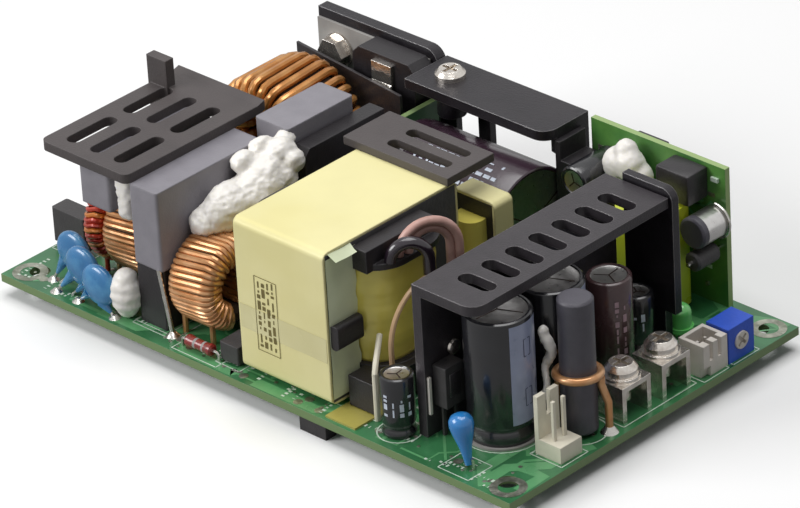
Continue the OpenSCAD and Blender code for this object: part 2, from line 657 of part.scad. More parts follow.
// ---------------------------------------------------------------- control board
control_l = 31.9;
control_h = 28.3;
control_t = 1.2;
control_y = 1.4 + control_t;
module control_board() {
  color("green") on_board(rl(80.9, control_y)) cube([control_l, control_t, control_h]);
}
module control_board_parts() {
  color("black") on_board(rl(80.9, control_y)) {
    translate([9.5, control_t, 22]) cube([7.4, 1.3, 6]);
    translate([20.1, -5.6, 21.5]) cube([7.8, 5.6, 6.2]);
    translate([11, -1.4, 5]) cube([6.5, 1.4, 8]);
    translate([3, -0.8, 3]) cube([3, 0.8, 2]);
    translate([30.1, 0, 17.8]) rotate([90, 0, 0]) cylinder(d = 6.2, h = 7.4);
    translate([30.1, -1.6, 12]) rotate([90, 0, 0]) cylinder(d = 3.8, h = 6);
    translate([30.1, eps, 12]) rotate([90, 0, 0]) cylinder(d = 0.8, h = 1.7);
    translate([30.1, -7.6 + eps, 12]) rotate([90, 0, 0]) cylinder(d = 0.8, h = 1.2);
  }
}
module control_capacitor() {
  color("black") on_board(rl(86, control_y + 0.3), 21.2) {
    rotate([90, 0, 0]) electrolytic(6.3, 10.7);
    for (x = [-1.25, 1.25]) translate([x, 0.3, 0]) rotate([90, 0, 0]) cylinder(d = 0.6, h = 0.5);
  }
}
module standby_transformer() {
  color("yellowgreen") on_board(rr(24.9, 10.6)) {
    translate([0, 0, 0.8]) rounded_block(10.2, 10.5, 20.2, 1.6);
    for (x = [-3, 3], y = [-3.5, 3.5]) translate([x, y, 0]) cylinder(d = 0.8, h = 1);
  }
}

// Beads of white silicone that hold the tall parts to each other
module bead(l, r_mid, r_end) rotate_extrude()
  polygon([[0, 0], [r_end * 0.6, 0.2], [r_end, 1.2], [r_mid, l * 0.4], [r_mid, l * 0.65], [r_end, l - 1.2],
    [r_end * 0.6, l - 0.2], [0, l]]);
module silicone_beads() {
  color("white") {
    on_board(fl(43.7, 12.6), 22.7) rotate([-82, 0, 0]) bead(20.4, 3.6, 2.2);
    on_board(fl(28.8, 7.4), 18.4) bead(mains_cover_top - cover_t - 18.4, 2.2, 3.4);
    on_board(fl(29.5, 5)) bead(9.6, 2.7, 1.8);
    on_board(rl(92.6, control_y + 6.4), 24.6) rotate([-90, 0, 0]) bead(6.4, 3.2, 2.4);
  }
}

// ---------------------------------------------------------------- output side
sink_l = 50;
sink_top_w = 14.7;
sink_slot_l = 8;
sink_slot_w = 3.3;
module output_heat_sink() {
  r = 3;
  y0 = 7;
  color("dimgray") on_board(fr(127 - 99.3, y0)) {
    cube([sink_t, sink_l, sink_top - sink_t + eps]);
    translate([0, 0, sink_top - sink_t]) linear_extrude(sink_t) difference() {
      union() {
        square([sink_top_w - r, sink_l]);
        translate([0, r]) square([sink_top_w, sink_l - r]);
        translate([sink_top_w - r, r]) circle(r = r);
      }
      for (i = [0 : 6]) translate([8.5, 7.5 + i * sink_slot_pitch]) slot2d(sink_slot_l, sink_slot_w);
    }
  }
}
module end_heat_sink() {
  t = 1.7;
  l = 11.6;
  h = 31.5;
  r = 2.4;
  color("black") on_board(fr(127 - 103, 57.4)) rotate([90, 0, 0]) translate([0, 0, -t])
    linear_extrude(t) union() {
      square([l - 4.6, h]);
      translate([0, 6.5]) square([l, h - 6.5 - r]);
      square([l - r, h]);
      translate([l - r, h - r]) circle(r = r);
    }
}
module sink_insulator() {
  color("white") on_board(fr(127 - 98.9, 8), 0) cube([0.4, 7, 21]);
}
module output_rectifier() {
  color("black") on_board(fr(127 - 99.3 - sink_t, 11.2)) {
    translate([0.1, -2.3, 6]) cube([3.1, 4.6, 8]);
    for (y = [-1.5, 1.5]) translate([1.6, y, 0]) block(0.5, 0.8, 6 + eps);
  }
}
module output_capacitors() {
  color("darkslategray") {
    on_board(cap_a_at) electrolytic(output_cap_d, output_cap_h);
    on_board(cap_b_at) electrolytic(output_cap_d, output_cap_h);
  }
}
module small_capacitors() {
  color("darkslategray") {
    on_board(brown_cap_at) electrolytic(8.3, 20);
    on_board(black_cap_at) electrolytic(6.3, 11.3);
    on_board(small_front_at) electrolytic(6.3, 12);
  }
}
// Rod choke: ferrite rod on end, through one turn of thick wire
module ferrite_rod_choke() {
  rod_r = 3.25;
  wire_d = 1.5;
  turn_r = rod_r + wire_d / 2 - 0.05;
  turn_z = 11.8;
  feet = [[4.1, 3], [-4.3, -1.1]];
  color("dimgray") on_board(rod_at, 0.6) {
    rotate_extrude() polygon([[0, 0], [rod_r - 0.4, 0], [rod_r, 0.4], [rod_r, 26], [rod_r - 0.4, 26.4],
      [0, 26.4]]);
  }
  color("peru") on_board(rod_at) {
    translate([0, 0, turn_z]) rotate_extrude() translate([turn_r, 0]) circle(d = wire_d);
    for (q = feet) {
      wire([q[0], q[1], 0.2], [q[0] * turn_r / norm(q), q[1] * turn_r / norm(q), turn_z], 1.4);
      translate([q[0], q[1], 0]) cylinder(d = 1.7, h = 0.5);
    }
  }
}
// Two-way header with a locking wall
module sense_header() {
  base_h = 3.2;
  color("ivory") on_board(sense_header_at) {
    block(6, 5.4, base_h);
    difference() {
      translate([-2.5, 0, 0]) block(1, 5.4, 11.6);
      translate([-2.5, 0, base_h + 4]) block(2, 1.2, 12);
    }
    for (q = pair_y(2.54)) translate([q[0] + 0.3, q[1], 0]) block(0.64, 0.64, 11);
  }
}
module drop_capacitor() {
  r = 2.3;
  l = 10.4;
  color("blue") on_board(drop_at) {
    translate([0, 0.6, 0.5]) rotate([-3, -14, 0]) rotate_extrude()
      polygon([[0, 0], [0.5 * r, 0.3], [0.8 * r, 1.2], [0.93 * r, 2.6], [r, l - 2.6], [0.93 * r, l - 1.3],
        [0.7 * r, l - 0.5], [0.35 * r, l - 0.1], [0, l]]);
    for (q = [[1, 0.4], [-1, 0.8]]) translate([q[0], q[1], 0]) cylinder(d = 0.6, h = 1.6);
  }
}
// Screw terminal bent from 1 mm sheet: a top plate on two side walls, with a threaded hole
term_l = 7;
term_w = 7.4;
term_h = 7;
term_t = 1;
screw_bore = 3.4;
module output_terminals() {
  color("silver") for (p = terminal_at) on_board(p) difference() {
    translate([-term_l / 2, 0, 0]) rotate([90, 0, 90]) linear_extrude(term_l) difference() {
      translate([-term_w / 2, 0]) square([term_w, term_h]);
      translate([-term_w / 2 + term_t, -1]) square([term_w - 2 * term_t, term_h - term_t + 1]);
    }
    translate([0, 0, term_h - term_t - 1]) cylinder(d = screw_bore, h = term_t + 2);
  }
}
module terminal_screws() {
  color("silver") for (p = terminal_at) on_board(p, term_h) {
    cylinder(d = 6.9, h = 0.7);
    translate([0, 0, 0.7]) pan_screw(6, 2.2, 3.2, 5.2);
  }
}
module fan_header() {
  color("ivory") on_board(fan_header_at) {
    difference() {
      block(5.8, 6.4, 6.5);
      translate([-0.4, 0, 1.6]) block(3.4, 4.8, 6);
      for (q = pair_y(2.2)) translate([2.2, q[1], 3]) block(2.6, 0.9, 6);
      translate([2.6, -2.4, -1]) block(1, 2, 3);
    }
    for (q = pair_y(2)) translate([q[0] - 0.4, q[1], 1]) block(0.5, 0.5, 4.6);
  }
}
module status_lamp() {
  color("lime") on_board(lamp_at, 1) {
    cylinder(d = 4.6, h = 0.9);
    cylinder(d = 3.9, h = 3.4);
    translate([0, 0, 3.4]) sphere(d = 3.9);
    for (q = pair_y(2.54)) translate([q[0], q[1], -1]) cylinder(d = 0.6, h = 1 + eps);
  }
}
// Trimmer potentiometer: the rotor turns in the body's outer face
trim_l = 5.2;
trim_w = 6.8;
trim_h = 7;
rotor_z = 3.7;
rotor_l = 1.6;
module trimmer_body() {
  color("royalblue") on_board(trimmer_at) difference() {
    translate([0, 0, 0]) block(trim_l, trim_w, trim_h);
    translate([trim_l / 2 - rotor_l, 0, rotor_z]) rotate([0, 90, 0])
      cylinder(d = rotor_d + 2 * rotor_play, h = rotor_l + 1);
  }
}
module trimmer_rotor() {
  color("white") on_board(trimmer_at) translate([trim_l / 2 - rotor_l + rotor_play, 0, rotor_z])
    rotate([0, 90, 0]) difference() {
      cylinder(d = rotor_d, h = rotor_l + 0.3 - rotor_play);
      for (a = [45, 135]) rotate(a) translate([-rotor_d / 2 + 0.4, -0.3, rotor_l - 0.4])
        cube([rotor_d - 0.8, 0.6, 2]);
    }
}

main_board();
solder_joints();
underside_tab();
input_fuse();
mains_header();
y_capacitors();
coloured_choke();
mains_choke();
filter_choke();
relay();
film_capacitor_1();
film_capacitor_2();
film_capacitor_3();
surge_resistor();
optocoupler();
mains_vent_cover();
power_factor_choke();
bridge_rectifier();
rear_heat_sink();
heat_sink_pad();
switching_transistor();
transistor_clip();
sink_bolt();
insulating_sheet();
sense_board();
bridge_bracket();
bridge_screw();
bridge_diode();
bulk_capacitor();
transformer_core();
transformer_tape();
transformer_winding();
transformer_bobbin();
transformer_mat();
core_clip();
winding_leads();
transformer_vent_cover();
resonant_core();
resonant_tape();
resonant_winding();
control_board();
control_board_parts();
control_capacitor();
standby_transformer();
silicone_beads();
output_heat_sink();
end_heat_sink();
sink_insulator();
output_rectifier();
output_capacitors();
ferrite_rod_choke();
small_capacitors();
sense_header();
drop_capacitor();
output_terminals();
terminal_screws();
fan_header();
status_lamp();
trimmer_body();
trimmer_rotor();
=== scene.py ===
import bpy, bmesh, math, random
from mathutils import Matrix, Vector, noise


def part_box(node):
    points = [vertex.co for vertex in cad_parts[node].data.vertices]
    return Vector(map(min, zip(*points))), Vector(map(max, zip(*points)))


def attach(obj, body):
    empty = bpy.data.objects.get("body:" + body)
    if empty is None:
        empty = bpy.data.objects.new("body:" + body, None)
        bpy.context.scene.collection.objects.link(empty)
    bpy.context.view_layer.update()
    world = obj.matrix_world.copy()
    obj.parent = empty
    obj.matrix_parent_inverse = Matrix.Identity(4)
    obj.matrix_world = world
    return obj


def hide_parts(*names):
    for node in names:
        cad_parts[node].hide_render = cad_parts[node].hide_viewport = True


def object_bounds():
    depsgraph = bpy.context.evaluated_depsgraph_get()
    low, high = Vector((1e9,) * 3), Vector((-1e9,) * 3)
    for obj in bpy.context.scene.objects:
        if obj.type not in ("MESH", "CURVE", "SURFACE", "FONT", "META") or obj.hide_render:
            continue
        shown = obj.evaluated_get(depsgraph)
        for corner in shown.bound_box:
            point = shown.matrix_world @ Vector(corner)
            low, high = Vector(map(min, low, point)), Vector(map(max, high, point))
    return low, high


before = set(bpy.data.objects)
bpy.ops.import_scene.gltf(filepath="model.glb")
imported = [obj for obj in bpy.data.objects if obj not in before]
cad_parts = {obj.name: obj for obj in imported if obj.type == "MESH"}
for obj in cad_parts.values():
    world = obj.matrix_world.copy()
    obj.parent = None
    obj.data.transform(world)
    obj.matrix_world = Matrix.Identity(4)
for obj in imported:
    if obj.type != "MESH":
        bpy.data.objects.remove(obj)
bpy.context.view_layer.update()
BODY = "power_supply"
MM = 0.001
random.seed(7)
TAU = 2 * math.pi


# ------------------------------------------------------------------ frame helpers
B_LO, B_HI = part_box("main_board")


def at(x, y, z):
    """A point given in mm from the board's front left corner, z above the board's top."""
    return Vector((B_LO.x + x * MM, B_LO.y + y * MM, B_HI.z + z * MM))


def size(node):
    lo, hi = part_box(node)
    return lo, hi, hi - lo, (lo + hi) / 2


# ------------------------------------------------------------------ materials
def srgb(r, g, b):
    f = lambda c: c / 12.92 if c <= 0.04045 else ((c + 0.055) / 1.055) ** 2.4
    return (f(r / 255), f(g / 255), f(b / 255), 1)


MATS = {}


def blend(nt, factor, colour, other):
    """Mixes another plain colour into a colour socket."""
    mix = nt.nodes.new("ShaderNodeMix")
    mix.data_type = "RGBA"
    nt.links.new(factor, mix.inputs["Factor"])
    nt.links.new(colour, mix.inputs["A"])
    mix.inputs["B"].default_value = other
    return mix.outputs["Result"]


def material(name, col, rough=0.5, metal=0.0, var=0.12, grain=300, bump=0.15, bscale=1500, coat=0.0,
             edge=0.0, blot_and_sheen=None, blot_and_sheen_amt=0.0, blot_and_sheen_scale=60, spec=0.5, sss=0.0, trans=0.0, rvar=0.08,
             side=None, edge_highlight=None):
    """Colour with fine and coarse variation, uneven gloss, grain in the surface, softened edges and a painted highlight
    on the rounded edges; on copper the coarse patches are painted highlights too.
    """
    if name in MATS:
        return MATS[name]
    m = bpy.data.materials.new(name)
    m.use_nodes = True
    nt = m.node_tree
    n, l = nt.nodes, nt.links
    b = n["Principled BSDF"]
    tc = n.new("ShaderNodeTexCoord")
    fine = n.new("ShaderNodeTexNoise")
    fine.inputs["Scale"].default_value = grain
    fine.inputs["Detail"].default_value = 6
    l.new(tc.outputs["Object"], fine.inputs["Vector"])
    ramp = n.new("ShaderNodeValToRGB")
    lo = [c * (1 - var) for c in col[:3]] + [1]
    hi = [min(1, c * (1 + var)) for c in col[:3]] + [1]
    ramp.color_ramp.elements[0].color = lo
    ramp.color_ramp.elements[0].position = 0.35
    ramp.color_ramp.elements[1].color = hi
    ramp.color_ramp.elements[1].position = 0.65
    l.new(fine.outputs["Fac"], ramp.inputs["Fac"])
    out = ramp.outputs["Color"]
    # coarse patches of a second colour: blotches of tone on most finishes, painted highlights on the copper wire
    if blot_and_sheen is not None:
        big = n.new("ShaderNodeTexNoise")
        big.inputs["Scale"].default_value = blot_and_sheen_scale
        big.inputs["Detail"].default_value = 5
        l.new(tc.outputs["Object"], big.inputs["Vector"])
        r2 = n.new("ShaderNodeValToRGB")
        r2.color_ramp.elements[0].position = 0.45
        r2.color_ramp.elements[0].color = (0, 0, 0, 1)
        r2.color_ramp.elements[1].position = 0.62
        r2.color_ramp.elements[1].color = (blot_and_sheen_amt,) * 3 + (1,)
        l.new(big.outputs["Fac"], r2.inputs["Fac"])
        out = blend(nt, r2.outputs["Color"], out, blot_and_sheen)
    geo = n.new("ShaderNodeNewGeometry")
    if side:
        # faces across the named axis keep the colour, the cut edges of the sheet take the other one
        axis_name, cut_colour = side
        parts = n.new("ShaderNodeSeparateXYZ")
        l.new(geo.outputs["True Normal"], parts.inputs[0])
        length = n.new("ShaderNodeMath")
        length.operation = "ABSOLUTE"
        l.new(parts.outputs[axis_name], length.inputs[0])
        cut = n.new("ShaderNodeMath")
        cut.operation = "LESS_THAN"
        cut.inputs[1].default_value = 0.5
        l.new(length.outputs[0], cut.inputs[0])
        out = blend(nt, cut.outputs[0], out, cut_colour)
    # painted highlight: the rounded edges take a lighter colour, as if light caught them
    if edge_highlight:
        round_edge = n.new("ShaderNodeBevel")
        round_edge.samples = 4
        round_edge.inputs["Radius"].default_value = 0.22 * MM
        dot = n.new("ShaderNodeVectorMath")
        dot.operation = "DOT_PRODUCT"
        l.new(round_edge.outputs["Normal"], dot.inputs[0])
        l.new(geo.outputs["Normal"], dot.inputs[1])
        edge_highlight_mask = n.new("ShaderNodeMapRange")
        edge_highlight_mask.inputs["From Min"].default_value = 0.985
        edge_highlight_mask.inputs["From Max"].default_value = 0.86
        edge_highlight_mask.inputs["To Max"].default_value = 0.85
        l.new(dot.outputs["Value"], edge_highlight_mask.inputs["Value"])
        out = blend(nt, edge_highlight_mask.outputs["Result"], out, edge_highlight)
    l.new(out, b.inputs["Base Color"])
    mr = n.new("ShaderNodeMapRange")
    mr.inputs["To Min"].default_value = max(0.02, rough - rvar)
    mr.inputs["To Max"].default_value = min(1, rough + rvar)
    l.new(fine.outputs["Fac"], mr.inputs["Value"])
    l.new(mr.outputs["Result"], b.inputs["Roughness"])
    g = n.new("ShaderNodeTexNoise")
    g.inputs["Scale"].default_value = bscale
    g.inputs["Detail"].default_value = 4
    l.new(tc.outputs["Object"], g.inputs["Vector"])
    bp = n.new("ShaderNodeBump")
    bp.inputs["Strength"].default_value = bump
    bp.inputs["Distance"].default_value = 0.0003
    l.new(g.outputs["Fac"], bp.inputs["Height"])
    if edge > 0:
        bv = n.new("ShaderNodeBevel")
        bv.samples = 4
        bv.inputs["Radius"].default_value = edge * MM
        l.new(bv.outputs["Normal"], bp.inputs["Normal"])
    l.new(bp.outputs["Normal"], b.inputs["Normal"])
    b.inputs["Metallic"].default_value = metal
    b.inputs["Coat Weight"].default_value = coat
    b.inputs["Coat Roughness"].default_value = 0.12
    b.inputs["Specular IOR Level"].default_value = spec
    if sss:
        b.inputs["Subsurface Weight"].default_value = sss
        b.inputs["Subsurface Radius"].default_value = (0.002, 0.002, 0.0015)
    if trans:
        b.inputs["Transmission Weight"].default_value = trans
    MATS[name] = m
    return m


M_BOARD = material("board_green", srgb(58, 122, 76), 0.34, var=0.10, grain=140, bump=0.05, coat=0.3,
                   blot_and_sheen=srgb(40, 98, 58), blot_and_sheen_amt=0.8, blot_and_sheen_scale=90, edge=0.12, side=("Z", srgb(116, 142, 92)))
M_CARD = material("card_green", srgb(88, 140, 66), 0.36, var=0.10, grain=160, bump=0.06, coat=0.2,
                  blot_and_sheen=srgb(58, 112, 52), blot_and_sheen_amt=0.8, blot_and_sheen_scale=120, edge=0.12, side=("Y", srgb(150, 176, 112)))
M_SENSE = material("sense_green", srgb(60, 118, 70), 0.36, var=0.10, grain=160, bump=0.06, coat=0.2,
                   edge=0.12, side=("X", srgb(140, 166, 108)))
M_TRACK = material("board_track", srgb(92, 156, 104), 0.3, var=0.08, grain=200, bump=0.05, coat=0.3)
M_PRINT = material("print_white", srgb(196, 212, 196), 0.6, var=0.12, grain=900, bump=0.2)
M_FIBRE = material("board_edge", srgb(128, 140, 104), 0.8, var=0.2, grain=700, bump=0.5)
M_SOLDER = material("solder", srgb(196, 194, 188), 0.26, 1.0, var=0.10, grain=500, bump=0.3, bscale=900)
M_PAD = material("pad_tin", srgb(170, 172, 158), 0.38, 0.9, var=0.25, grain=500, bump=0.6, bscale=700,
                 blot_and_sheen=srgb(96, 104, 84), blot_and_sheen_amt=0.6, blot_and_sheen_scale=400)
# its lighter edge colour is a painted highlight
M_COVER = material("cover_grey", srgb(70, 64, 64), 0.52, var=0.08, grain=260, bump=0.28, bscale=2600, edge=0.35,
                   blot_and_sheen=srgb(80, 74, 73), blot_and_sheen_amt=0.5, blot_and_sheen_scale=70, edge_highlight=srgb(108, 102, 102))
M_DARK = material("moulded_dark", srgb(58, 56, 57), 0.5, var=0.12, grain=400, bump=0.22, bscale=2200, edge=0.3)
# its lighter edge colour is a painted highlight
M_BLACK = material("moulded_black", srgb(34, 31, 34), 0.42, var=0.14, grain=400, bump=0.22, bscale=2200,
                   edge=0.3, edge_highlight=srgb(78, 74, 78))
M_FILM = material("film_case", srgb(134, 131, 138), 0.42, var=0.05, grain=320, bump=0.16, bscale=2500, edge=0.55,
                  blot_and_sheen=srgb(144, 141, 147), blot_and_sheen_amt=0.45, blot_and_sheen_scale=80)
M_IVORY = material("nylon_ivory", srgb(222, 216, 198), 0.42, var=0.05, grain=300, bump=0.12, edge=0.25, sss=0.05)
M_WHITEP = material("nylon_white", srgb(214, 208, 200), 0.45, var=0.06, grain=300, bump=0.12, edge=0.25, sss=0.05)
# its lighter edge colour is a painted highlight
M_ANOD = material("anodised", srgb(56, 52, 56), 0.34, 0.25, var=0.10, grain=500, bump=0.25, bscale=3200, edge=0.3,
                  blot_and_sheen=srgb(68, 64, 67), blot_and_sheen_amt=0.5, blot_and_sheen_scale=60, edge_highlight=srgb(140, 136, 138))
# its lighter edge colour is a painted highlight
M_ANODK = material("anodised_black", srgb(36, 33, 38), 0.32, 0.25, var=0.12, grain=500, bump=0.25, bscale=3200,
                   edge=0.3, blot_and_sheen=srgb(50, 46, 50), blot_and_sheen_amt=0.5, blot_and_sheen_scale=60, edge_highlight=srgb(170, 168, 170))
M_PADG = material("pad_grey", srgb(150, 147, 144), 0.6, var=0.08, grain=200, bump=0.1, blot_and_sheen=srgb(172, 170, 166), blot_and_sheen_amt=0.6, blot_and_sheen_scale=90)
# its near-white edge colour is a painted highlight
M_STEEL = material("steel_bright", srgb(224, 218, 210), 0.22, 0.92, var=0.08, grain=600, bump=0.3, bscale=1200,
                   edge=0.12, blot_and_sheen=srgb(150, 134, 120), blot_and_sheen_amt=0.35, blot_and_sheen_scale=500, edge_highlight=srgb(244, 240, 234))
M_ALU = material("can_alu", srgb(214, 212, 210), 0.30, 1.0, var=0.05, grain=900, bump=0.12)
# the lighter patches on the copper wire are painted highlights, in the colour of its glints
M_COPPER = material("wire_copper", srgb(198, 142, 92), 0.30, 0.55, var=0.14, grain=160, bump=0.06, coat=0.35,
                    blot_and_sheen=srgb(224, 178, 134), blot_and_sheen_amt=0.55, blot_and_sheen_scale=260)
M_GOLD = material("wire_gold", srgb(196, 132, 66), 0.26, 0.5, var=0.14, grain=160, bump=0.06, coat=0.4,
                  blot_and_sheen=srgb(222, 168, 104), blot_and_sheen_amt=0.55, blot_and_sheen_scale=200)
M_WRED = material("wire_red", srgb(188, 60, 40), 0.28, 0.2, var=0.15, grain=200, bump=0.08, coat=0.5)
M_WORG = material("wire_orange", srgb(214, 128, 52), 0.28, 0.3, var=0.15, grain=200, bump=0.08, coat=0.5)
# dark brown for the chokes' cores, deepened to the painted shade between the turns, and for the painted shade of the
# vent grooves on the can tops
M_CORE_AND_SHADE = material("core_and_groove_shade", srgb(44, 28, 20), 0.75, var=0.2, grain=300, bump=0.2)
M_FERR = material("ferrite", srgb(76, 74, 82), 0.42, 0.05, var=0.06, grain=500, bump=0.2, bscale=2600, edge=0.4)
M_TAPE = material("tape_cream", srgb(236, 228, 170), 0.46, var=0.03, grain=70, bump=0.10, bscale=160, coat=0.08,
                  blot_and_sheen=srgb(228, 218, 150), blot_and_sheen_amt=0.55, blot_and_sheen_scale=45, edge=0.6)
M_TAPEW = material("tape_pale", srgb(222, 230, 196), 0.32, var=0.04, grain=90, bump=0.12, bscale=220, coat=0.25,
                   blot_and_sheen=srgb(206, 218, 176), blot_and_sheen_amt=0.5, blot_and_sheen_scale=60)
M_TAPEY = material("tape_yellow", srgb(240, 226, 112), 0.30, var=0.07, grain=90, bump=0.3, bscale=200, coat=0.35,
                   blot_and_sheen=srgb(218, 200, 76), blot_and_sheen_amt=0.7, blot_and_sheen_scale=90)
M_LIME = material("tape_lime", srgb(196, 206, 52), 0.30, var=0.06, grain=90, bump=0.2, bscale=220, coat=0.35)
M_SILI = material("silicone", srgb(238, 234, 228), 0.42, var=0.03, grain=200, bump=0.35, bscale=420, sss=0.15, coat=0.15)
M_PURPLE = material("sleeve_purple", srgb(50, 32, 44), 0.26, var=0.12, grain=300, bump=0.08, coat=0.5, blot_and_sheen=srgb(62, 44, 56),
                    blot_and_sheen_amt=0.5, blot_and_sheen_scale=60)
M_SLEEVE = material("sleeve_black", srgb(30, 30, 34), 0.24, var=0.12, grain=300, bump=0.08, coat=0.6)
M_BROWN = material("sleeve_brown", srgb(78, 56, 58), 0.26, var=0.08, grain=300, bump=0.08, coat=0.5)
M_LILAC = material("stripe_lilac", srgb(150, 158, 186), 0.3, var=0.06, grain=400, bump=0.06, coat=0.4)
M_LILACD = material("stripe_mark", srgb(70, 74, 96), 0.35, var=0.06, grain=400, bump=0.06)
M_GREYPR = material("print_grey", srgb(206, 214, 228), 0.5, var=0.12, grain=900, bump=0.1)
M_MAROON = material("print_maroon", srgb(168, 140, 150), 0.5, var=0.12, grain=900, bump=0.1)
M_BLUE = material("disc_blue", srgb(48, 118, 172), 0.26, var=0.10, grain=200, bump=0.14, bscale=400, coat=0.6,
                  blot_and_sheen=srgb(92, 164, 206), blot_and_sheen_amt=0.45, blot_and_sheen_scale=240)
M_BLUED = material("drop_blue", srgb(40, 128, 200), 0.24, var=0.06, grain=200, bump=0.1, bscale=500, coat=0.7)
M_TRIM = material("trimmer_blue", srgb(38, 84, 200), 0.4, var=0.06, grain=300, bump=0.15, edge=0.25)
M_PINK = material("lead_pink", srgb(196, 156, 146), 0.4, var=0.1, grain=160, bump=0.08, blot_and_sheen=srgb(164, 124, 112), blot_and_sheen_amt=0.6, blot_and_sheen_scale=200)
M_LEADB = material("lead_sleeve", srgb(34, 24, 34), 0.22, var=0.2, grain=300, bump=0.3, bscale=500, coat=0.6)
M_LEADT = material("lead_tan", srgb(176, 146, 112), 0.4, var=0.1, grain=300, bump=0.1)
M_GREENL = material("lamp_green", srgb(122, 214, 120), 0.14, var=0.04, grain=200, bump=0.03, coat=0.6, sss=0.4)
M_BAND = material("tape_band", srgb(224, 217, 166), 0.26, var=0.03, grain=70, bump=0.1, bscale=160, coat=0.3,
                  blot_and_sheen=srgb(214, 206, 150), blot_and_sheen_amt=0.5, blot_and_sheen_scale=60)
M_LABEL = material("label_ink", srgb(112, 100, 52), 0.5, var=0.1, grain=900, bump=0.05)
M_MAT = material("mat_olive", srgb(170, 160, 80), 0.4, var=0.1, grain=160, bump=0.15, coat=0.2)
M_RESR = material("resistor_body", srgb(120, 48, 40), 0.25, var=0.15, grain=300, bump=0.06, coat=0.5)
M_BANDR = material("resistor_red", srgb(132, 40, 36), 0.25, var=0.1, grain=300, bump=0.06, coat=0.5)
M_TAPEBACK = material("core_grey", srgb(70, 70, 72), 0.6, var=0.1, grain=400, bump=0.3, edge=0.3)

CAD_FINISH = {
    "main_board": M_BOARD, "solder_joints": M_SOLDER, "underside_tab": M_DARK, "input_fuse": M_DARK, "mains_header": M_IVORY,
    "y_capacitors": M_BLUE, "sink_bolt": M_STEEL, "relay": M_BLACK, "film_capacitor_1": M_FILM, "film_capacitor_2": M_FILM, "film_capacitor_3": M_FILM,
    "surge_resistor": M_RESR, "optocoupler": M_DARK, "mains_vent_cover": M_COVER, "bridge_rectifier": M_BLACK,
    "rear_heat_sink": M_ANODK, "heat_sink_pad": M_PADG, "switching_transistor": M_BLACK, "transistor_clip": M_STEEL,
    "insulating_sheet": M_BLACK, "sense_board": M_SENSE, "bridge_bracket": M_ANODK, "bridge_screw": M_STEEL, "bridge_diode": M_BLACK,
    "transformer_core": M_TAPEBACK, "transformer_tape": M_TAPE, "transformer_bobbin": M_BLACK, "transformer_mat": M_MAT,
    "core_clip": M_BLACK, "transformer_vent_cover": M_COVER, "resonant_core": M_BLACK, "resonant_tape": M_TAPE,
    "resonant_winding": M_TAPEY, "control_board": M_CARD, "control_board_parts": M_DARK, "standby_transformer": M_LIME,
    "output_heat_sink": M_ANOD, "end_heat_sink": M_ANODK, "sink_insulator": M_WHITEP, "output_rectifier": M_DARK,
    "sense_header": M_IVORY, "drop_capacitor": M_BLUED, "output_terminals": M_STEEL, "terminal_screws": M_STEEL,
    "fan_header": M_WHITEP, "status_lamp": M_GREENL, "trimmer_body": M_TRIM, "trimmer_rotor": M_WHITEP,
    "transformer_winding": M_TAPEY, "winding_leads": M_PINK, "silicone_beads": M_SILI, "ferrite_rod_choke": M_FERR,
    "bulk_capacitor": M_PURPLE, "output_capacitors": M_SLEEVE, "small_capacitors": M_SLEEVE, "control_capacitor": M_SLEEVE,
    "coloured_choke": M_WRED, "mains_choke": M_COPPER, "filter_choke": M_COPPER, "power_factor_choke": M_GOLD,
}
for node_name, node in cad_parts.items():
    node.data.materials.clear()
    node.data.materials.append(CAD_FINISH.get(node_name, M_DARK))


# ------------------------------------------------------------------ mesh helpers
def mesh_piece(name, verts, faces, mats, face_mats=None, smooth=True, body=BODY):
    me = bpy.data.meshes.new(name)
    me.from_pydata([tuple(v) for v in verts], [], faces)
    for m in (mats if isinstance(mats, (list, tuple)) else [mats]):
        me.materials.append(m)
    if face_mats:
        me.polygons.foreach_set("material_index", face_mats)
    me.polygons.foreach_set("use_smooth", [smooth] * len(me.polygons))
    me.update()
    ob = bpy.data.objects.new(name, me)
    bpy.context.scene.collection.objects.link(ob)
    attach(ob, body)
    return ob


